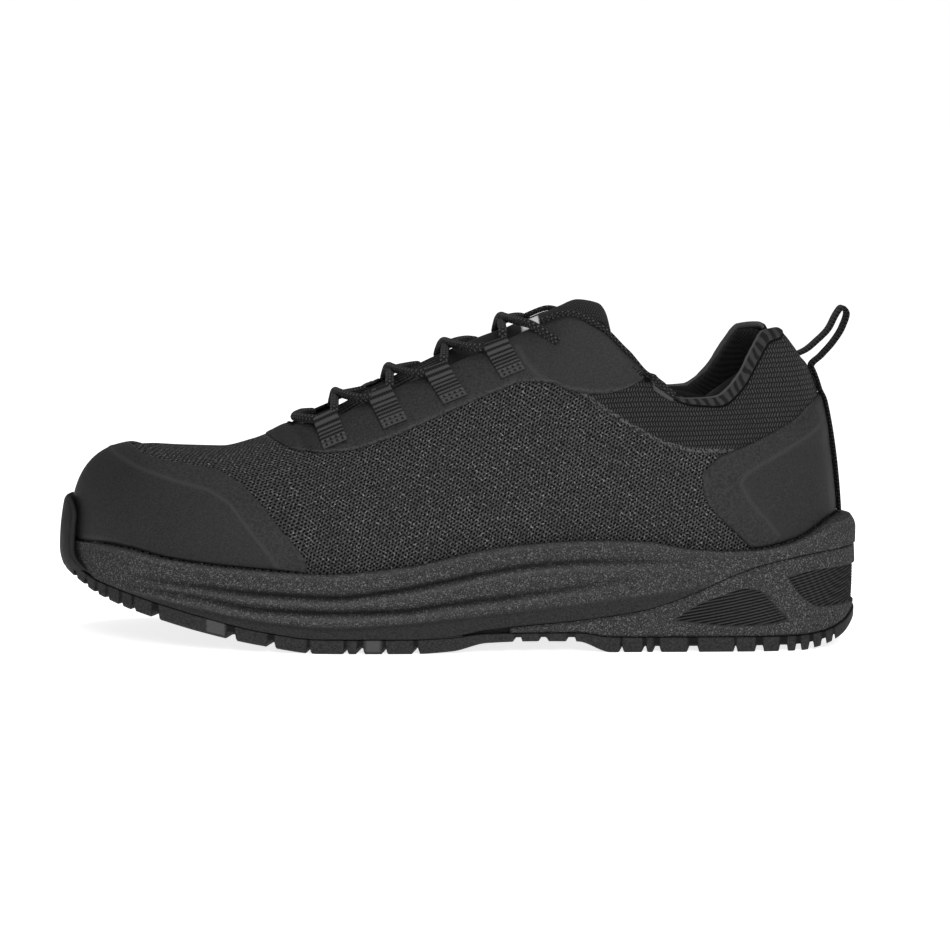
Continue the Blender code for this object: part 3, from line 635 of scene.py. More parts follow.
def knit_finish():
    """Open mesh, the fine collar panel with its border, and the folded binding of the collar."""
    paint = Paint("knit", 0.9, specular=0.04, sheen=0.02)
    along, up, panel = paint.marks("along up panel")
    mesh, chance = mesh_knit(paint, along, up)
    fine = fine_knit(paint, along, up)
    inside = panel.step(-0.3, 0.3)
    fray = paint.noise(0.5, 2.0)
    pale = chance.step(0.58, 0.68) * mesh.step(0.50, 0.75)
    yarn = paint.mix(fray.step(0.3, 0.7), 0.014, 0.066)
    coarse = paint.mix(mesh.step(0.27, 0.58), 0.0008, yarn)
    coarse = paint.mix(pale * 0.75, coarse, 0.24)
    rows = paint.mix(fine.step(0.05, 1.0), 0.008, 0.050)
    rows = paint.mix(fray.step(0.60, 0.76) * fine.step(0.3, 0.8) * 0.5, rows, 0.14)
    border = 1 - (panel - 1.2).math("ABSOLUTE").step(0.5, 1.1)
    rows = paint.mix(border * chance.step(0.44, 0.56) * 0.5, rows, 0.16)
    cloud = paint.noise(11.0).step(0.3, 0.8) * 0.25
    colour = paint.mix(inside, coarse, rows)
    colour = paint.mix(cloud, colour, 0.014)
    band, edge = paint.marks("band edge")
    # Painted shade along the folds of the binding near its top.
    crease_shade = (along * 0.9 + up * 0.5 + (paint.noise(6.0, 2.0) - 0.5) * 4.0).ripple(3.2)
    binding = paint.mix(crease_shade.step(0.2, 0.8) * edge.step(9.0, 4.0), 0.030, 0.010)
    # Painted highlight along the binding's rolled top edge.
    binding = paint.mix(1 - edge.step(0.4, 1.2), binding, 0.060)
    colour = paint.mix(band.step(-0.15, 0.15), colour, binding)
    seam = 1 - (band + 0.1).math("ABSOLUTE").step(0.25, 0.65)
    colour = paint.mix(seam, colour, 0.002)
    relief = (mesh * (1 - inside) + fine * inside) * (1 - band.step(-0.15, 0.15))
    return paint.finish(colour, relief=relief - seam * 0.8, depth=0.4)


def film_finish(name, base, grain_depth, roughness):
    """Matt film: rougher outside its pressed line than inside, with a painted highlight along its thin edge
    and rare scuffs.
    """
    paint = Paint(name, roughness, specular=0.12)
    grain = paint.noise(0.55, 2.0, roughness=0.7)
    weave = paint.noise(0.8, 1.0)
    cloud = paint.noise(16.0, 3.0)
    pressed, rough_zone, edge = paint.marks("pressed rough_zone edge")
    strength = rough_zone * 0.65 + 0.35
    colour = paint.mix(grain.step(0.25, 0.75), base * 0.55, base * 1.45)
    coarse = paint.mix(weave.step(0.3, 0.7), base * 0.55, base * 1.75)
    colour = paint.mix(rough_zone * 0.6, colour, coarse)
    colour = paint.mix(cloud.step(0.3, 0.75) * 0.3, colour, base * 1.25)
    colour = paint.mix(pressed * 0.55, colour, base * 2.1)
    # Painted highlight along the film's edge.
    colour = paint.mix(edge * weave.step(0.3, 0.6) * 0.7, colour, base * 3.2)
    scuff = paint.noise(2.4, 5.0, roughness=0.75).step(0.70, 0.76)
    colour = paint.mix(scuff * 0.4, colour, base * 3.0)
    relief = (grain * 0.6 + weave * 0.4) * strength
    shine = roughness + (cloud - 0.5) * 0.15
    return paint.finish(colour, shine, relief, grain_depth)


def foam_finish():
    """Foam with a stippled skin, smooth lower bands, painted shade in its grooves and painted highlights on
    its ridges and lip.
    """
    paint = Paint("foam", 0.85, specular=0.07)
    stipple = paint.noise(0.34, 2.0, roughness=0.75)
    dots = paint.specks(0.40)
    rough_skin, groove, ridge = paint.marks("stipple groove ridge")
    colour = paint.mix(stipple.step(0.34, 0.66), 0.0065, 0.060)
    colour = paint.mix(dots.step(0.84, 0.92) * rough_skin * 0.55, colour, 0.16)
    fine = paint.noise(0.5, 2.0).step(0.3, 0.7)
    smooth_skin = paint.mix(fine, 0.013, 0.030)
    colour = paint.mix(rough_skin, smooth_skin, colour)
    # Painted highlight on the ridges, along the lip and on the window rib crests.
    colour = paint.mix(ridge * 0.30, colour, 0.085)
    # Painted shade in the grooves, in the dips between the window ribs and just above the lower face.
    colour = paint.mix(groove * 0.9, colour, 0.0035)
    relief = stipple * (rough_skin * 0.85 + 0.15)
    return paint.finish(colour, relief=relief, depth=0.35)


def rubber_finish():
    """Grained rubber, worn in places, with painted shade in its slots and over the whole bumper, pale on its
    inserts, and a painted highlight along the bumper's rim.
    """
    paint = Paint("tread rubber", 0.65, specular=0.08)
    grain = paint.noise(0.6, 3.0)
    wear = paint.noise(7.0, 4.0)
    slot, light = paint.marks("slot light")
    colour = paint.mix(grain.step(0.3, 0.7), 0.011, 0.030)
    colour = paint.mix(wear.step(0.5, 0.8) * 0.35, colour, 0.032)
    # Painted shade: darker with the depth of the slots, and over the whole bumper.
    colour = paint.mix(slot * 0.85, colour, 0.0018)
    # Pale inserts on the tread's sides; on the bumper the same mark is a painted highlight along its rim.
    colour = paint.mix(light * 0.7, colour, 0.070)
    return paint.finish(colour, 0.55 + wear * 0.2, grain, 0.10)


def webbing_finish(name, level, rib, across):
    """Narrow ribs across a strip with a plain weave between, and rows of stitches where marked."""
    paint = Paint(name, 0.85, specular=0.07, sheen=0.03)
    along, side, stitches = paint.marks("along up stitches")
    ribs = along.ripple(rib)
    yarn = side.ripple(across)
    relief = ribs * 0.8 + yarn * 0.2
    colour = paint.mix(ribs.step(0.15, 0.8), level * 0.12, level * 1.4)
    colour = paint.mix(yarn.step(0.2, 0.9) * 0.2, colour, level * 1.7)
    dashes = (side + 0.4).ripple(2.1)
    thread = paint.mix(dashes.step(0.1, 0.7), level * 0.25, level * 1.9)
    colour = paint.mix(stitches, colour, thread)
    return paint.finish(colour, relief=relief, depth=0.3)


def braid_finish(name, level, pitch):
    """Two sets of yarns that cross slantwise round a cord."""
    paint = Paint(name, 0.8, specular=0.08, sheen=0.03)
    along, turn = paint.marks("along turn")
    left = (along / pitch + turn * 4.0).ripple(1.0)
    right = (along / pitch - turn * 4.0).ripple(1.0)
    relief = left.math("MAXIMUM", right)
    colour = paint.mix((left * right).step(0.15, 0.7), level * 0.25, level * 2.0)
    return paint.finish(colour, relief=relief, depth=0.3)


def textile_finish(name, level, size):
    """Cloth with a fine cross weave and some fuzz."""
    paint = Paint(name, 0.9, specular=0.06, sheen=0.03)
    along, up = paint.marks("along up")
    weave = along.wave(size) * up.wave(size) * 0.5 + 0.5
    fuzz = paint.noise(1.6, 4.0)
    colour = paint.mix(weave.step(0.2, 0.8), level * 0.4, level * 1.5)
    colour = paint.mix(fuzz.step(0.4, 0.8) * 0.4, colour, level * 1.6)
    return paint.finish(colour, relief=weave * 0.6 + fuzz * 0.4, depth=0.25)


def tongue_finish():
    """Ribbed knit in front, plain film behind it, a blank pale label and a fine knit end."""
    paint = Paint("tongue", 0.85, specular=0.08, sheen=0.03)
    along, up, knit, cap, label = paint.marks("along up knit cap label")
    ribs = up.wave(1.7) * 0.38 + (along + up * 0.3).wave(1.3) * 0.12 + 0.5
    fine = fine_knit(paint, along, up)
    grain = paint.noise(0.6, 2.0).step(0.3, 0.7)
    film = paint.mix(grain, 0.008, 0.016)
    colour = paint.mix(knit, film, paint.mix(ribs.step(0.2, 0.8), 0.003, 0.036))
    colour = paint.mix(cap, colour, paint.mix(fine.step(0.1, 0.9), 0.004, 0.034))
    colour = paint.mix(label, colour, 0.55)
    return paint.finish(colour, relief=ribs * knit + fine * cap, depth=0.3)


def collar_band(u, t):
    """How far a point lies below the top line, and how far inside the rolled band along the collar."""
    below = girth(u, 1 + 0 * t) - girth(u, t)
    width = np.interp(np.abs(wrap(u)), BAND_PLACES, BAND_WIDTHS)
    return below, width - below


def collar_panel(u, point):
    """How deep a point is in the fine knit panel at the collar."""
    return np.where(np.abs(wrap(u)) > 0.55, point[:, 2] - COLLAR_EDGE.at("z", point[:, 0]), -20.0)


def skin_marks(u, t, point):
    x = point[:, 0]
    below, band = collar_band(u, t)
    along = x + 0.2 * np.maximum(0, -60 - x)
    return {"along": along, "up": girth(u, t), "panel": collar_panel(u, point), "edge": below, "band": band}


def upper_relief(u, t, point):
    """Padding behind the collar panel, its rolled band and the soft hollows of a lasted knit."""
    x, z = point[:, 0], point[:, 2]
    q = np.abs(wrap(u))
    panel = collar_panel(u, point)
    below, band = collar_band(u, t)
    padding = 0.5 * smooth((panel - 0.5) / 9.0) * smooth((1 - t) / 0.12)
    seam = -0.5 * bump_of(panel, 1.1)
    roll = 0.7 * smooth(below / 1.2) * smooth(band / 1.4) - 0.3 * bump_of(band + 0.3, 0.8)
    away = smooth((q - 0.46) / 0.06) * smooth((0.70 - q) / 0.08)
    hollow = -0.35 * away * bump_of(z - 62 - 0.2 * x, 9.0) + 0.25 * away * bump_of(z - 48 - 0.25 * x, 6.0)
    return padding + seam + roll + hollow


def build_upper(knit):
    def place(a, b):
        u = wrap(2 * a - 1 + 1e-9)
        point = upper_point(u, b)
        lifted = point + upper_normal(u, b) * upper_relief(u, b, point)[:, None]
        return lifted, skin_marks(u, b, point)

    piece = form("upper_knit", 420, 110, place, knit, joined=0.3)
    thicken(piece, WALL)
    stands_for("upper")


def film(name, columns, rows, spots, size, line, beyond, finish, node):
    """A thin film over the upper with soft edges and, where it has one, a line pressed into it."""
    def place(a, b):
        u, t = spots(a, b)
        point = upper_point(u, t)
        margin = np.minimum(np.minimum(a, 1 - a) * size[0], np.minimum(b, 1 - b) * size[1])
        crown = edge_round(margin, 2.2) * (0.35 + 0.65 * smooth((a * size[0] - 1.0) / 9.0))
        lift = EDGE_LIFT + (OVERLAY_LIFT + OVERLAY - EDGE_LIFT) * crown
        pressed = bump_of(distance_to(line, point[:, 0], point[:, 2]), 0.7) * smooth(margin / 2)
        lift = lift + 0.25 * pressed + np.maximum(0, upper_relief(u, t, point))
        # edge places the painted highlight along the film's edge.
        edge = bump_of(margin - 0.3, 0.45)
        return upper_offset(u, t, lift), {"pressed": pressed, "rough_zone": beyond(point), "edge": edge}

    piece = form(name, columns, rows, place, finish)
    thicken(piece, FILM_SHEET)
    stands_for(node)


def past_toe_line(point):
    return smooth((point[:, 2] - TOE_INNER.at("z", point[:, 0])) / 1.5)


def past_counter_line(point):
    return smooth((COUNTER_INNER.at("x", point[:, 2]) - point[:, 0]) / 1.5)


def before_eyestay_line(point):
    return smooth((EYESTAY_INNER.at("x", point[:, 2]) - point[:, 0]) / 1.5)


def build_films(grained):
    lateral_tip, medial_tip = (float(locate(side, *COUNTER_TIP)[0]) for side in (-1, 1))

    def toe_spots(a, b):
        u = TOE_FILM_REACH * (2 * a - 1)
        low = t_at_height(u, height("lip", u) + 0.5)
        high = np.minimum(0.88, np.maximum(low + 0.03, t_at_edge(u, TOE_EDGE)))
        return u, low + (high - low) * b

    def counter_spots(a, b):
        u = lateral_tip + (medial_tip - 2 - lateral_tip) * a
        low = np.maximum(t_at_edge(u, COUNTER_BOTTOM), t_at_height(u, height("lip", u) + 0.5))
        high = t_at_edge(u, COUNTER_TOP)
        return u, low + (np.maximum(high, low + 0.01) - low) * b

    film("toe_film", 220, 60, toe_spots, (240, 45), TOE_LINE, past_toe_line, grained, "toe_overlay")
    film("heel_film", 220, 50, counter_spots, (190, 50), COUNTER_LINE, past_counter_line, grained,
         "heel_counter")
    for side, word in SIDES:
        def eyestay_spots(a, b, side=side):
            q = EYESTAY_START + (EYESTAY_END - EYESTAY_START) * a
            high = 0.985 + 0.014 * smooth((0.41 - q) / 0.02)
            low = np.minimum(0.95, t_at_edge(side * q, EYESTAY_EDGE))
            return side * q, low + (high - low) * b

        film(f"eyestay_film_{word}", 200, 44, eyestay_spots, (150, 26), EYESTAY_LINE, before_eyestay_line,
             grained, f"eyestay_{word}")


def midsole_half(u, rows):
    """Half sections of the midsole, from the bottom up its side, over the lip to the footbed."""
    q = np.abs(wrap(u))
    x = outline_point(u)[..., 0]
    tuck = OUTLINE.at("tuck", q)
    rubber = height("rubber", u) + GAP
    parting = np.maximum(height("parting", u) + GAP, rubber)
    lip = height("lip", u)
    footbed = height("footbed", u)
    upper = OUTLINE.at("upper", q)
    step = np.where(parting - rubber > 0.5, upper - CARRIER_CLEAR + GAP, tuck + band_inset(x, parting))
    lip_inset = np.minimum(tuck + LIP_BEVEL, upper - LIP_LAND)
    points = [on_outline(u, step, rubber), on_outline(u, step, parting)]
    for j in range(rows + 1):
        z = parting + (lip - parting) * j / rows
        bevel = np.maximum(0, (z - (lip - 5.0)) / 5.0)
        inset = tuck + band_inset(x, z) + (lip_inset - tuck) * bevel ** 2
        if j == 0:
            inset = inset + 0.5
        points.append(on_outline(u, inset, z - (0.25 if j == rows else 0.0)))
    inner = upper_offset(u, t_at_height(u, lip), GAP)
    points.append(on_outline(u, lip_inset + 0.6, lip))
    points.append(np.stack([inner[..., 0], inner[..., 1], lip + 0 * q], -1))
    points.append(on_outline(u, upper - GAP, footbed))
    return points


def band_inset(x, z):
    """How far the grooves and the set-back lower face lie inside the sole's outline."""
    groove_1 = bump_of(z - BANDS.at("groove_1", x), 1.5) * BANDS.at("deep_1", x)
    groove_2 = bump_of(z - BANDS.at("groove_2", x), 1.5) * BANDS.at("deep_2", x)
    below = 1 / (1 + np.exp((z - BANDS.at("low_face", x)) * 1.6))
    return groove_1 + groove_2 + below * BANDS.at("deep_low", x)


def painted_groove_shade(x, z):
    """Painted shade: how dark the midsole is painted in its two grooves and just above its lower face, where
    shade falls.
    """
    shade = 0 * x
    for number in (1, 2):
        from_middle = z - BANDS.at(f"groove_{number}", x) + 0.3
        depth = np.minimum(1.0, BANDS.at(f"deep_{number}", x) / GROOVE_DEPTH)
        shade = np.maximum(shade, bump_of(from_middle, 1.15) * depth)
    low = 0.6 * bump_of(z - BANDS.at("low_face", x), 0.9) * BANDS.at("deep_low", x) / GROOVE_DEPTH
    return np.clip(np.maximum(shade, low), 0, 1)


def ridge_light(x, z):
    """Where the midsole's ridges and its lip catch the light."""
    light = bump_of(z - HEIGHTS.at("lip", x) + 1.0, 1.0) * 0.7
    for number in (1, 2):
        depth = BANDS.at(f"deep_{number}", x) / GROOVE_DEPTH
        light = np.maximum(light, bump_of(z - BANDS.at(f"groove_{number}", x) + 2.9, 1.0) * depth)
    return np.clip(light, 0, 1)


def ring_form(name, q_count, rings, marks, finish, node):
    """A closed body from sections. rings(q) gives its points in order round each section."""
    q = np.linspace(0, 1, q_count + 1)
    points = np.stack(rings(q), 1)
    count = points.shape[1]

    def place(a, b):
        i = np.rint(a * q_count).astype(int)
        j = np.rint(b * count).astype(int) % count
        found = points[i, j]
        return found, marks(q[i], j, found)

    piece = form(name, q_count, count, place, finish, closed=True)
    stands_for(node)
    return piece


def build_midsole(foam):
    rows = 64

    def rings(q):
        return midsole_half(-q, rows)[::-1] + midsole_half(q, rows)

    def marks(q, j, point):
        x, z = point[:, 0], point[:, 2]
        rough = smooth((z - BANDS.at("low_face", x)) / 1.5)
        # groove carries painted shade and ridge carries painted highlights into the foam's colour.
        return {"stipple": rough, "groove": painted_groove_shade(x, z), "ridge": ridge_light(x, z)}

    ring_form("midsole_foam", 300, rings, marks, foam, "midsole")


def window_depth(x, z, window, ends):
    """How open a window is at a point, from 0 to 1, with short slopes at its edges."""
    edge = np.minimum(z - window.at("low", x), window.at("high", x) - z)
    edge = np.minimum(edge, np.minimum(x - ends[0], ends[1] - x) * 0.8)
    return smooth((edge + 0.2) / 0.7)


def build_carrier(foam):
    """Second foam layer under the heel, with ribbed windows sunk in its wall."""
    rows, columns = 84, 420

    def place(a, b):
        u = -CARRIER_START - (2 - 2 * CARRIER_START) * a
        j = np.rint(b * (rows + 3)).astype(int)
        low = height("rubber", u) + GAP
        high = np.maximum(height("parting", u), low + 0.6)
        f = np.clip(j / rows, 0, 1)
        z = low + (high - low) * f
        x = outline_point(u)[:, 0]
        swell = 0.5 * (1 - np.sin(np.pi * f)) + 0.5 * bump_of(z - high, 0.5) + 0.5 * bump_of(z - low, 0.5)
        side = window_depth(x, z, SIDE_WINDOW, (78.5, 122.5))
        back = window_depth(x, z, BACK_WINDOW, (121.8, 200.0))
        wave = np.cos(2 * np.pi * (z - 0.20 * x - 0.0012 * (x - 100) ** 2) / RIB_PITCH)
        inset = swell + (side + back) * (WINDOW_DEPTH + 0.45 * wave - 0.1)
        deep = (j > rows) & (j < rows + 3)
        inset = np.where(deep, OUTLINE.at("upper", np.abs(wrap(u))) - CARRIER_CLEAR, inset)
        z = np.where(j == rows + 1, high, np.where(j >= rows + 2, low, z))
        # Painted light in the windows: shade in the dips between the ribs, and highlights on the rib crests
        # and on each window's sloped rim.
        window = np.clip(side + back, 0, 1)
        window_rim_highlight = np.clip(4 * window * (1 - window), 0, 1)
        ridge = np.maximum(window_rim_highlight * 0.6, window * smooth(0.4 - 0.9 * wave))
        marks = {"stipple": 1 - window, "groove": 0.9 * window * smooth(0.4 + 0.8 * wave), "ridge": ridge}
        return on_outline(u, inset, z), marks

    piece = form("heel_carrier_foam", columns, rows + 3, place, foam, closed=True)
    close_ends(piece)
    stands_for("heel_carrier")


def close_ends(piece):
    """Fills the open ends of a strip-like body."""
    bm = bmesh.new()
    bm.from_mesh(piece.data)
    bmesh.ops.holes_fill(bm, edges=[e for e in bm.edges if e.is_boundary], sides=0)
    bmesh.ops.recalc_face_normals(bm, faces=bm.faces)
    bm.to_mesh(piece.data)
    bm.free()


def tread_slots(x, inset):
    """Depth in millimetres of the slots between the lugs, at a point inset from the tread's edge."""
    depth = 0 * x
    for centre, width, deep in TREAD_SLOTS:
        away = np.abs(x - centre - 0.18 * inset)
        depth = np.maximum(depth, deep * smooth((width / 2 + 0.25 - away) / 0.5))
    return depth * smooth((TREAD_EDGE - inset) / 1.2)


def build_outsole(rubber):
    """Tread: each section runs down the outer edge, across the ground, up the inner edge and back."""
    columns, across = 760, 76
    side_rows, top_rows = 10, 8
    rows = 2 * side_rows + across + top_rows

    def place(a, b):
        x = -HALF_LENGTH + 0.02 + (2 * HALF_LENGTH - 0.04) * (1 - np.cos(np.pi * a)) / 2
        q = np.arccos(np.clip(-x / HALF_LENGTH, -1, 1)) / np.pi
        j = np.rint(b * rows).astype(int) % rows
        edge = OUTLINE.at("tuck", q) * 0.6 + 0.9 * BANDS.at("deep_low", x)
        high, low = height("rubber", q), height("ground", q)
        lateral, medial = outline(-q, edge), outline(q, edge)
        on_lateral = j < side_rows
        on_bottom = (j >= side_rows) & (j <= side_rows + across)
        on_medial = (j > side_rows + across) & (j <= 2 * side_rows + across)
        f_side = np.clip(np.where(on_lateral, j, 2 * side_rows + across - j) / side_rows, 0, 1)
        share = np.clip((j - side_rows) / across, 0, 1)
        top_share = np.clip((j - 2 * side_rows - across) / top_rows, 0, 1)
        on_top = ~(on_lateral | on_bottom | on_medial)
        share = np.where(on_top, 1 - top_share, share)
        spot = lateral + (medial - lateral) * share[:, None]
        width = np.linalg.norm(medial - lateral, axis=1)
        inset_y = np.minimum(share, 1 - share) * width
        slot = tread_slots(spot[:, 0], inset_y)
        round_edge = 0.8 * (1 - edge_round(inset_y, 0.8))
        bottom = low + slot + round_edge
        wall = high + (low + slot + 0.8 - high) * f_side
        z = np.where(on_top, high, np.where(on_bottom, bottom, wall))
        inside = [np.minimum(spot[:, 0] - first, last - spot[:, 0]) for first, last in TREAD_INSERTS]
        light = smooth(np.max(inside, 0) / 0.6) * (on_lateral | on_medial)
        return np.stack([spot[:, 0], spot[:, 1], z], -1), {"slot": slot / LUG_DEPTH, "light": light}

    piece = form("outsole_rubber", columns, rows, place, rubber, closed=True)
    close_ends(piece)
    stands_for("outsole")


def bumper_half(z):
    """Half the bumper's width at a height, as a share of the outline."""
    foot = np.clip((34 - z) / 8, 0, 1)
    crown = np.sqrt(np.maximum(0.0, 1 - (np.maximum(0.0, z - 45.0) / 9.2) ** 2))
    return (BUMPER_HALF_WIDTH + BUMPER_FOOT * foot ** 2) * crown


def bumper_lean(z):
    """How far the bumper's face curves in at its top and at its foot."""
    return 2.0 * np.maximum(0.0, (z - 34) / 19) ** 2 + 1.6 * np.maximum(0.0, (33 - z) / 7) ** 2


def build_bumper(rubber):
    """Leaf of rubber that turns up over the toe, round at its top and wider at its foot."""
    def place(a, b):
        across = 2 * a - 1
        z = BUMPER_LOW + (BUMPER_TOP - BUMPER_LOW) * b
        u = bumper_half(z) * across + 1e-6
        margin = np.minimum((1 - np.abs(across)) * bumper_half(z) * 240, (1 - b) * 26)
        rolled = 1.3 * (1 - edge_round(margin, 2.4))
        # The slot mark, held at 0.8, paints the whole bumper darker as painted shade; the bumper has no
        # slots. The light mark paints a highlight along its rolled rim.
        marks = {"slot": 0.8 + 0 * a, "light": 0.45 * bump_of(margin - 0.9, 0.4)}
        return on_outline(u, 0.02 + bumper_lean(z) + rolled, z), marks

    piece = form("toe_bumper_rubber", 64, 72, place, rubber)
    thicken(piece, BUMPER_LEAF)
    stands_for("outsole")


def build_footbed(textile):
    """Soft pad with raised edges, which fills the well of the midsole."""
    q_count, rows = 160, 40

    def rings(q):
        points = []
        inset = OUTLINE.at("upper", q) + WALL + 0.9
        lateral, medial = outline(-q, inset), outline(q, inset)
        low = height("footbed", q) + GAP
        for j in range(rows + 1):
            f = j / rows
            spot = lateral + (medial - lateral) * f
            edge = 1.2 * (1 - edge_round(min(f, 1 - f) * 70, 1.5))
            rise = INSOLE_THICKNESS + 1.6 * abs(2 * f - 1) ** 4 - edge
            points.append(np.stack([spot[:, 0], spot[:, 1], low + rise], -1))
        for j in range(4):
            spot = medial + (lateral - medial) * j / 3
            points.append(np.stack([spot[:, 0], spot[:, 1], low], -1))
        return points

    def marks(q, j, point):
        return {"along": point[:, 0], "up": point[:, 1]}

    piece = ring_form("footbed", q_count, rings, marks, textile, "insole")


def tongue_point(s, w):
    """Upper face of the tongue: s along it, w from -1 to 1 across it."""
    y = w * np.where(w < 0, TONGUE.at("outer", s), TONGUE.at("inner", s))
    drop = TONGUE.at("drop", s) * np.abs(w) ** 1.8
    return np.stack([TONGUE.at("x", s), y, TONGUE.at("z", s) - drop], -1)


def build_tongue(finish):
    """Padded tongue: ribbed in front, plain behind, with a rounded knit end and a blank label."""
    rows, face = 180, 60

    def place(s, b):
        count = 2 * face + 2
        j = np.rint(b * count).astype(int) % count
        upper_face = j <= face
        w = np.where(upper_face, 2 * j / face - 1, 1 - 2 * (j - face - 1) / face)
        along = tongue_point(np.minimum(1, s + 0.02), 0 * w) - tongue_point(np.maximum(0, s - 0.02), 0 * w)
        down = np.stack([along[:, 2], 0 * s, -along[:, 0]], -1)
        down /= np.linalg.norm(down, axis=1, keepdims=True)
        point = tongue_point(s, w)
        x, y = point[:, 0], point[:, 1]
        thickness = TONGUE.at("thick", s) * (1 - 0.55 * np.abs(w) ** 3)
        knit = smooth((0.50 - s) / 0.04)
        ribs = 0.22 * knit * np.cos(2 * np.pi * y / 1.7) - 0.25
        puff = 3.0 * bump_of(x + 54, 7.0) * bump_of(y, 6.0)
        edge = 0.6 * (1 - edge_round((1 - np.abs(w)) * 22, 2.0))
        pinch = 0.5 * thickness * (1 - edge_round((1 - s) * TONGUE_LENGTH, 4.5))
        depth = np.where(upper_face, edge - ribs - puff + pinch, thickness - edge - pinch)
        patch = np.minimum(y - LABEL_OUTER, LABEL_INNER - y)
        patch = np.minimum(patch, LABEL_HALF_LENGTH - np.abs(x - LABEL_X))
        marks = {"along": TONGUE_PATTERN_LENGTH * s, "up": y, "knit": knit, "cap": smooth((s - 0.83) / 0.01),
                 "label": smooth(patch / 0.5) * np.where(upper_face, 1.0, 0.0)}
        return point + down * depth[:, None], marks

    piece = form("tongue_pad", rows, 2 * face + 2, place, finish, closed=True)
    close_ends(piece)
    stands_for("tongue")


def build_lace_loop(side, word, number, webbing):
    """Ribbed strip sewn on at its lower end, which arches over the lace at its upper end."""
    top = LACE_LOOPS.at("x_top", number), LACE_LOOPS.at("z_top", number)
    end = LACE_LOOPS.at("x_end", number), LACE_LOOPS.at("z_end", number)
    length = math.hypot(top[0] - end[0], top[1] - end[1]) + 3

    def place(a, b):
        across = (a - 0.5) * LOOP_WIDTH
        share = b * 1.16 - 0.16
        x = end[0] + (top[0] - end[0]) * share + across * 0.92
        z = end[1] + (top[1] - end[1]) * share + across * 0.40 - 0.6
        u, t = locate(side, x, z)
        margin = np.minimum(np.minimum(a, 1 - a) * LOOP_WIDTH, np.minimum(b, 1 - b) * length)
        ribs = 0.16 * np.cos(2 * np.pi * LOOP_RIBS * b)
        arch = 2.4 * bump_of(b - 0.92, 0.16)
        lift = OVERLAY_LIFT + OVERLAY + GAP + 0.8 + ribs + arch - 0.4 * (1 - edge_round(margin, 0.8))
        point = upper_offset(u, np.minimum(t, 0.99), lift)
        low_end = b * length
        stitches = np.maximum(bump_of(low_end - 1.0, 0.35), bump_of(low_end - 2.6, 0.35))
        return point, {"along": low_end, "up": across, "stitches": stitches}

    piece = form(f"webbing_loop_{word}_{number}", 24, 64, place, webbing)
    thicken(piece, 0.7)
    stands_for(f"lace_loop_{word}_{number}")


def lengths_along(path):
    """Length from the start of a path to each of its points."""
    steps = np.linalg.norm(np.diff(path, axis=0), axis=1)
    return np.concatenate([[0.0], np.cumsum(steps)])


def cord_form(name, path, radius, finish):
    """A cord along a path of points, with round closed ends."""
    along = lengths_along(path)
    tangent = np.gradient(path, axis=0)
    tangent /= np.linalg.norm(tangent, axis=1, keepdims=True)
    right = np.cross(tangent, [0, 0, 1.0])
    right /= np.maximum(1e-9, np.linalg.norm(right, axis=1, keepdims=True))
    up = np.cross(right, tangent)
    count = len(path) - 1

    def place(a, b):
        i = np.rint(a * count).astype(int)
        turn = 2 * np.pi * b
        ends = edge_round(np.minimum(along[i], along[-1] - along[i]) + 0.05, radius)
        size = (radius * ends)[:, None]
        offset = right[i] * np.cos(turn)[:, None] + up[i] * np.sin(turn)[:, None]
        return path[i] + offset * size, {"along": along[i], "turn": b}

    piece = form(name, count, CORD_SIDES, place, finish, joined=0.01, closed=True)
    close_ends(piece)
    return piece


def curve_through(points, count):
    """A smooth path through a few points."""
    keys = lengths_along(points)
    rows = [(key, *point) for key, point in zip(keys, points)]
    line = Table("k x y z", rows)
    steps = np.linspace(0, keys[-1], count)
    return np.stack([line.at("x", steps), line.at("y", steps), line.at("z", steps)], -1)


def lace_anchor(side, number, along=0.0):
    """Centre of the lace inside a loop's fold, along from its middle, or at the top eyelet."""
    lift = OVERLAY_LIFT + OVERLAY + LACE_DIAMETER / 2
    if number > 4:
        u, t = locate(side, *EYELET)
        return upper_offset(u, t, lift - 0.8)
    x = LACE_LOOPS.at("x_top", number) + along
    u, t = locate(side, x, LACE_LOOPS.at("z_top", number) - 1.0 + 0.45 * along)
    return upper_offset(u, np.minimum(t, 0.93), lift + 0.5)


def lace_shoulder(side, x, lift):
    """Centre of the lace where it passes over the edge of the throat."""
    low, high = 0.39, 0.62
    for _ in range(24):
        q = (low + high) / 2
        if top_line(side * q)[0] < x:
            low = q
        else:
            high = q
    return upper_offset(side * q, 1.0, OVERLAY_LIFT + OVERLAY + LACE_DIAMETER / 2 + lift)


def tongue_height(x, y):
    """Height of the tongue's upper face under a point."""
    s = search(lambda share: TONGUE.at("x", share) < x, np.shape(x))
    half = np.where(y < 0, TONGUE.at("outer", s), TONGUE.at("inner", s))
    return tongue_point(s, np.clip(y / half, -1, 1))[..., 2]


def lace_run(points, lift):
    """A length of lace through points, raised where it would touch the tongue."""
    run = curve_through(points, LACE_STEPS)
    share = np.clip(3 * (1 - (run[:, 1] / 19) ** 2), 0, 1)
    need = tongue_height(run[:, 0], run[:, 1]) + LACE_DIAMETER / 2 + lift - run[:, 2]
    run[:, 2] += np.maximum(0, need) * share
    for _ in range(12):
        run[1:-1] = (run[:-2] + 2 * run[1:-1] + run[2:]) / 4
    return run


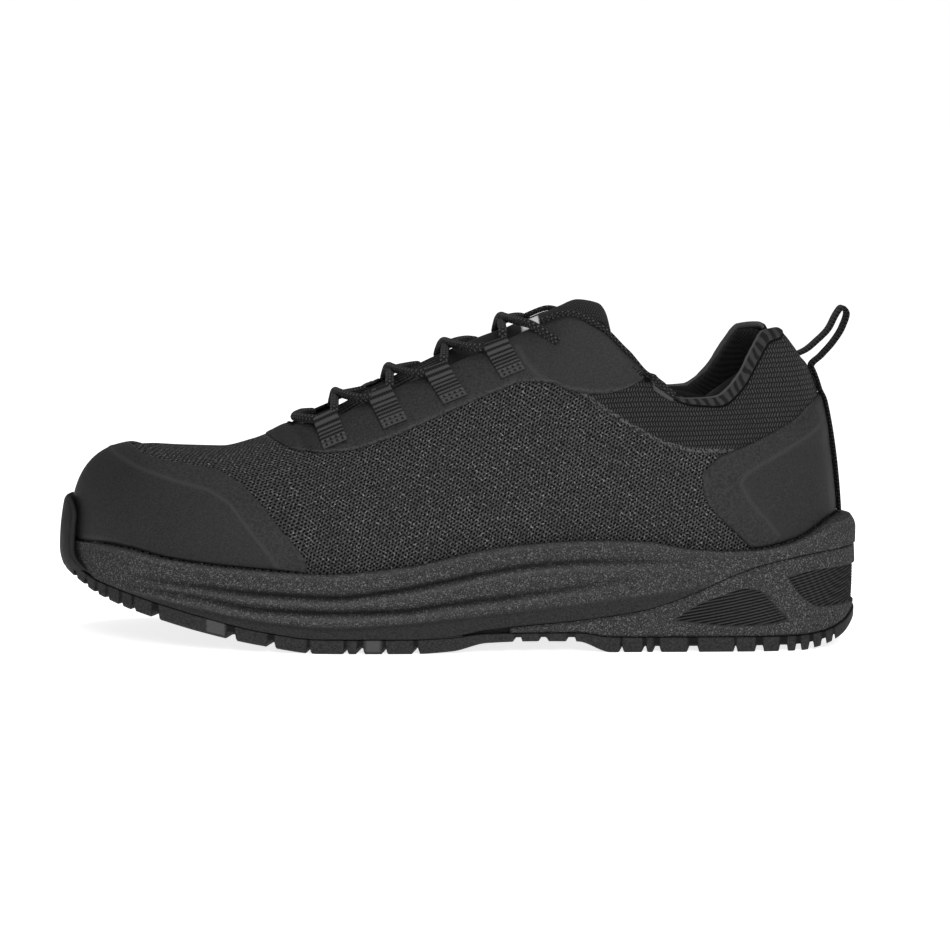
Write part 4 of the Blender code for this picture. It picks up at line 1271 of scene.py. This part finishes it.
def lace_crossing(side, number):
    """From a loop's upper corner over a crest near it, and down to the next loop of the other side."""
    start, end = lace_anchor(side, number, 3.0), lace_anchor(-side, number + 1, -3.0)
    first = lace_shoulder(side, start[0] + 2.0, 1.4)
    last = lace_shoulder(-side, end[0] - 3.0 if number < 4 else 25.0, 0.6)
    middle = first + (last - first) * 0.45 + np.array([-3.5, 0, 2.2 + 1.0 * side])
    return lace_run([start, first, middle, last, end], 0.8 + 0.5 * side)


def build_laces(braid):
    """The front bar and the crossings up to the top eyelets."""
    start, end = lace_anchor(-1, 1, -3.0), lace_anchor(1, 1, -3.0)
    first, last = lace_shoulder(-1, start[0] - 4.0, 0.2), lace_shoulder(1, end[0] - 4.0, 0.2)
    middle = (first + last) / 2 + np.array([-3.0, 0, -0.6])
    runs = {"lace_front_bar": lace_run([start, first, middle, last, end], 0.4)}
    for number in (1, 2, 3, 4):
        for side, word in ((-1, "outer"), (1, "inner")):
            runs[f"lace_crossing_{number}_{word}"] = lace_crossing(side, number)
    for name, run in runs.items():
        piece = cord_form(name, run, LACE_DIAMETER / 2, braid)
        stands_for("lace")


def build_pull_loop(webbing):
    """Webbing that rises from the collar, turns back and runs down the heel."""
    on_knit = 0.8 + STRAP_THICKNESS / 2
    on_film = OVERLAY_LIFT + OVERLAY + GAP + STRAP_THICKNESS / 2
    low = float(t_at_height(np.array([1.0]), height("lip", np.array([1.0])) + 1.0)[0])
    t = np.linspace(0.82, low, 30)
    over_film = np.clip((96.0 - upper_point(1.0 + 0 * t, t)[:, 2]) / 3.5, 0, 1)
    strip = upper_offset(1.0 + 0 * t, t, on_knit + (on_film - on_knit) * over_film)
    knots = [(x, 0, z) for x, z in PULL_LOOP_PATH] + [(p[0], 0, p[2]) for p in strip]
    path = curve_through(knots, 220)
    tangent = np.gradient(path, axis=0)
    tangent /= np.linalg.norm(tangent, axis=1, keepdims=True)
    normal = np.stack([tangent[:, 2], 0 * tangent[:, 0], -tangent[:, 0]], -1)
    along = lengths_along(path)
    half_width, half_thick = WEBBING_WIDTH / 2, STRAP_THICKNESS / 2
    count = len(path) - 1

    def place(a, b):
        i = np.rint(a * count).astype(int)
        turn = 2 * np.pi * b
        across = np.sign(np.cos(turn)) * np.abs(np.cos(turn)) ** 0.35 * half_width
        thick = np.sign(np.sin(turn)) * np.abs(np.sin(turn)) ** 0.6 * half_thick
        point = path[i] + normal[i] * thick[:, None]
        point[:, 1] = across - 2.0
        return point, {"along": along[i], "up": across, "stitches": 0 * a}

    piece = form("pull_loop_webbing", count, 40, place, webbing, joined=0.005, closed=True)
    close_ends(piece)
    stands_for("pull_loop")


def build_collar(braid, lining):
    """Braided piping on the top line, and the padded lining inside the collar."""
    for side, word in SIDES:
        q = np.linspace(PIPING_START, PIPING_END, 160)
        lift = 1.9 - 1.3 * smooth((q - 0.690) / 0.02)
        path = upper_offset(side * q, 0.985 + 0 * q, lift)
        path[:, 2] += 0.7 - 1.0 * smooth((q - 0.700) / 0.012)
        piece = cord_form(f"collar_piping_{word}", path, PIPING_RADIUS, braid)

    def place(a, b):
        u = -LINING_START - (2 - 2 * LINING_START) * a
        q = np.abs(wrap(u))
        section = np.where(b < 0.5, b * 2, 2 - b * 2)
        t = t_at_height(u, top_line(u)[:, 2] - 0.8 - section * LINING_DEPTH)
        swell = 5.2 * edge_round(section, 0.22) * smooth((1 - section) / 0.55) * smooth((q - 0.60) / 0.05)
        wrinkle = 0.45 * np.sin(2 * np.pi * (section * LINING_DEPTH + q * 420) / 5.2)
        wrinkle = wrinkle * smooth((q - 0.83) / 0.05) * smooth((0.35 - section) / 0.2)
        inner = WALL + 0.15 + np.where(b < 0.5, swell + wrinkle * edge_round(section, 0.1) + 0.5, 0.0)
        point = upper_offset(u, np.minimum(t, 0.985), -inner)
        return point, {"along": point[:, 0], "up": section * LINING_DEPTH}

    piece = form("collar_lining", 260, 80, place, lining, closed=True)
    close_ends(piece)


def build_stage():
    """White floor and surroundings, and soft lights."""
    world = bpy.data.worlds.new("studio")
    bpy.context.scene.world = world
    world.use_nodes = True
    background = world.node_tree.nodes["Background"]
    background.inputs["Color"].default_value = (1, 1, 1, 1)
    background.inputs["Strength"].default_value = 0.27
    shown = world.node_tree.nodes.new("ShaderNodeBackground")
    shown.inputs["Color"].default_value = (1, 1, 1, 1)
    rays = world.node_tree.nodes.new("ShaderNodeLightPath")
    either = world.node_tree.nodes.new("ShaderNodeMixShader")
    links = world.node_tree.links
    links.new(rays.outputs["Is Camera Ray"], either.inputs[0])
    links.new(background.outputs[0], either.inputs[1])
    links.new(shown.outputs[0], either.inputs[2])
    links.new(either.outputs[0], world.node_tree.nodes["World Output"].inputs["Surface"])
    bm = bmesh.new()
    bmesh.ops.create_grid(bm, x_segments=1, y_segments=1, size=30)
    mesh = bpy.data.meshes.new("floor")
    bm.to_mesh(mesh)
    bm.free()
    floor = bpy.data.objects.new("floor", mesh)
    bpy.context.scene.collection.objects.link(floor)
    paint = Paint("floor", 0.9, specular=0.0)
    paint.shader.inputs["Emission Color"].default_value = (1, 1, 1, 1)
    paint.shader.inputs["Emission Strength"].default_value = 0.79
    mesh.materials.append(paint.finish((0.9, 0.9, 0.9, 1.0)))
    soft_light("key", (0.2, -1.3, 0.85), 1.0, 17)
    soft_light("top", (0.15, 0.1, 1.5), 0.9, 7)


def soft_light(name, spot, size, power):
    """A round soft light that looks at the shoe."""
    light = bpy.data.lights.new(name, "AREA")
    light.shape = "DISK"
    light.size = size
    light.energy = power
    lamp = bpy.data.objects.new(name, light)
    lamp.location = spot
    lamp.rotation_euler = (Vector((0, 0, 0.06)) - Vector(spot)).to_track_quat("-Z", "Y").to_euler()
    bpy.context.scene.collection.objects.link(lamp)


CAMERA_TURN = -4.0
CAMERA_RAISE = 5.5
CAMERA_ROLL = 0.877
CAMERA_DISTANCE = 1500.0
AIM_HEIGHT = 65.0
CENTRE_RIGHT = 6.77
CENTRE_UP = 61.59
FOCAL_PIXELS = 3931.5
PICTURE = 950
SENSOR = 36.0


def build_camera():
    """The photograph's view: a little from the toe's side and from above, slightly rolled."""
    turn, raised, roll = (math.radians(v) for v in (CAMERA_TURN, CAMERA_RAISE, CAMERA_ROLL))
    level = Vector((math.cos(turn), math.sin(turn), 0))
    ahead = Vector((-math.sin(turn) * math.cos(raised), math.cos(turn) * math.cos(raised), -math.sin(raised)))
    above = Vector((-math.sin(turn) * math.sin(raised), math.cos(turn) * math.sin(raised), math.cos(raised)))
    right = math.cos(roll) * level + math.sin(roll) * above
    up = math.cos(roll) * above - math.sin(roll) * level
    aim = AIM_HEIGHT * ahead.z
    spot = (CENTRE_RIGHT * right + CENTRE_UP * up + (aim - CAMERA_DISTANCE) * ahead) * MM
    data = bpy.data.cameras.new("camera")
    data.sensor_width = SENSOR
    data.lens = FOCAL_PIXELS / PICTURE * SENSOR
    data.clip_start, data.clip_end = 0.1, 100
    camera = bpy.data.objects.new("camera", data)
    axes = Matrix((right, up, -ahead)).transposed()
    camera.matrix_world = Matrix.LocRotScale(spot, axes.to_quaternion(), None)
    bpy.context.scene.collection.objects.link(camera)
    bpy.context.scene.camera = camera


def build_shoe():
    """Every piece, each with the finish of its material."""
    foam = foam_finish()
    rubber = rubber_finish()
    webbing = webbing_finish("loop webbing", 0.032, 1.35, 0.9)
    strap = webbing_finish("pull webbing", 0.013, 1.4, 2.2)
    braid = braid_finish("lace braid", 0.026, 2.0)
    lining = textile_finish("lining", 0.005, 1.3)
    build_upper(knit_finish())
    build_films(film_finish("film", 0.018, 0.16, 0.6))
    build_midsole(foam)
    build_carrier(foam)
    build_outsole(rubber)
    build_bumper(rubber)
    build_footbed(lining)
    build_tongue(tongue_finish())
    for side, word in SIDES:
        for number in (1, 2, 3, 4):
            build_lace_loop(side, word, number, webbing)
    build_laces(braid)
    build_pull_loop(strap)
    build_collar(braid, lining)


bpy.context.scene.view_settings.view_transform = "Standard"
build_camera()
build_stage()
build_shoe()
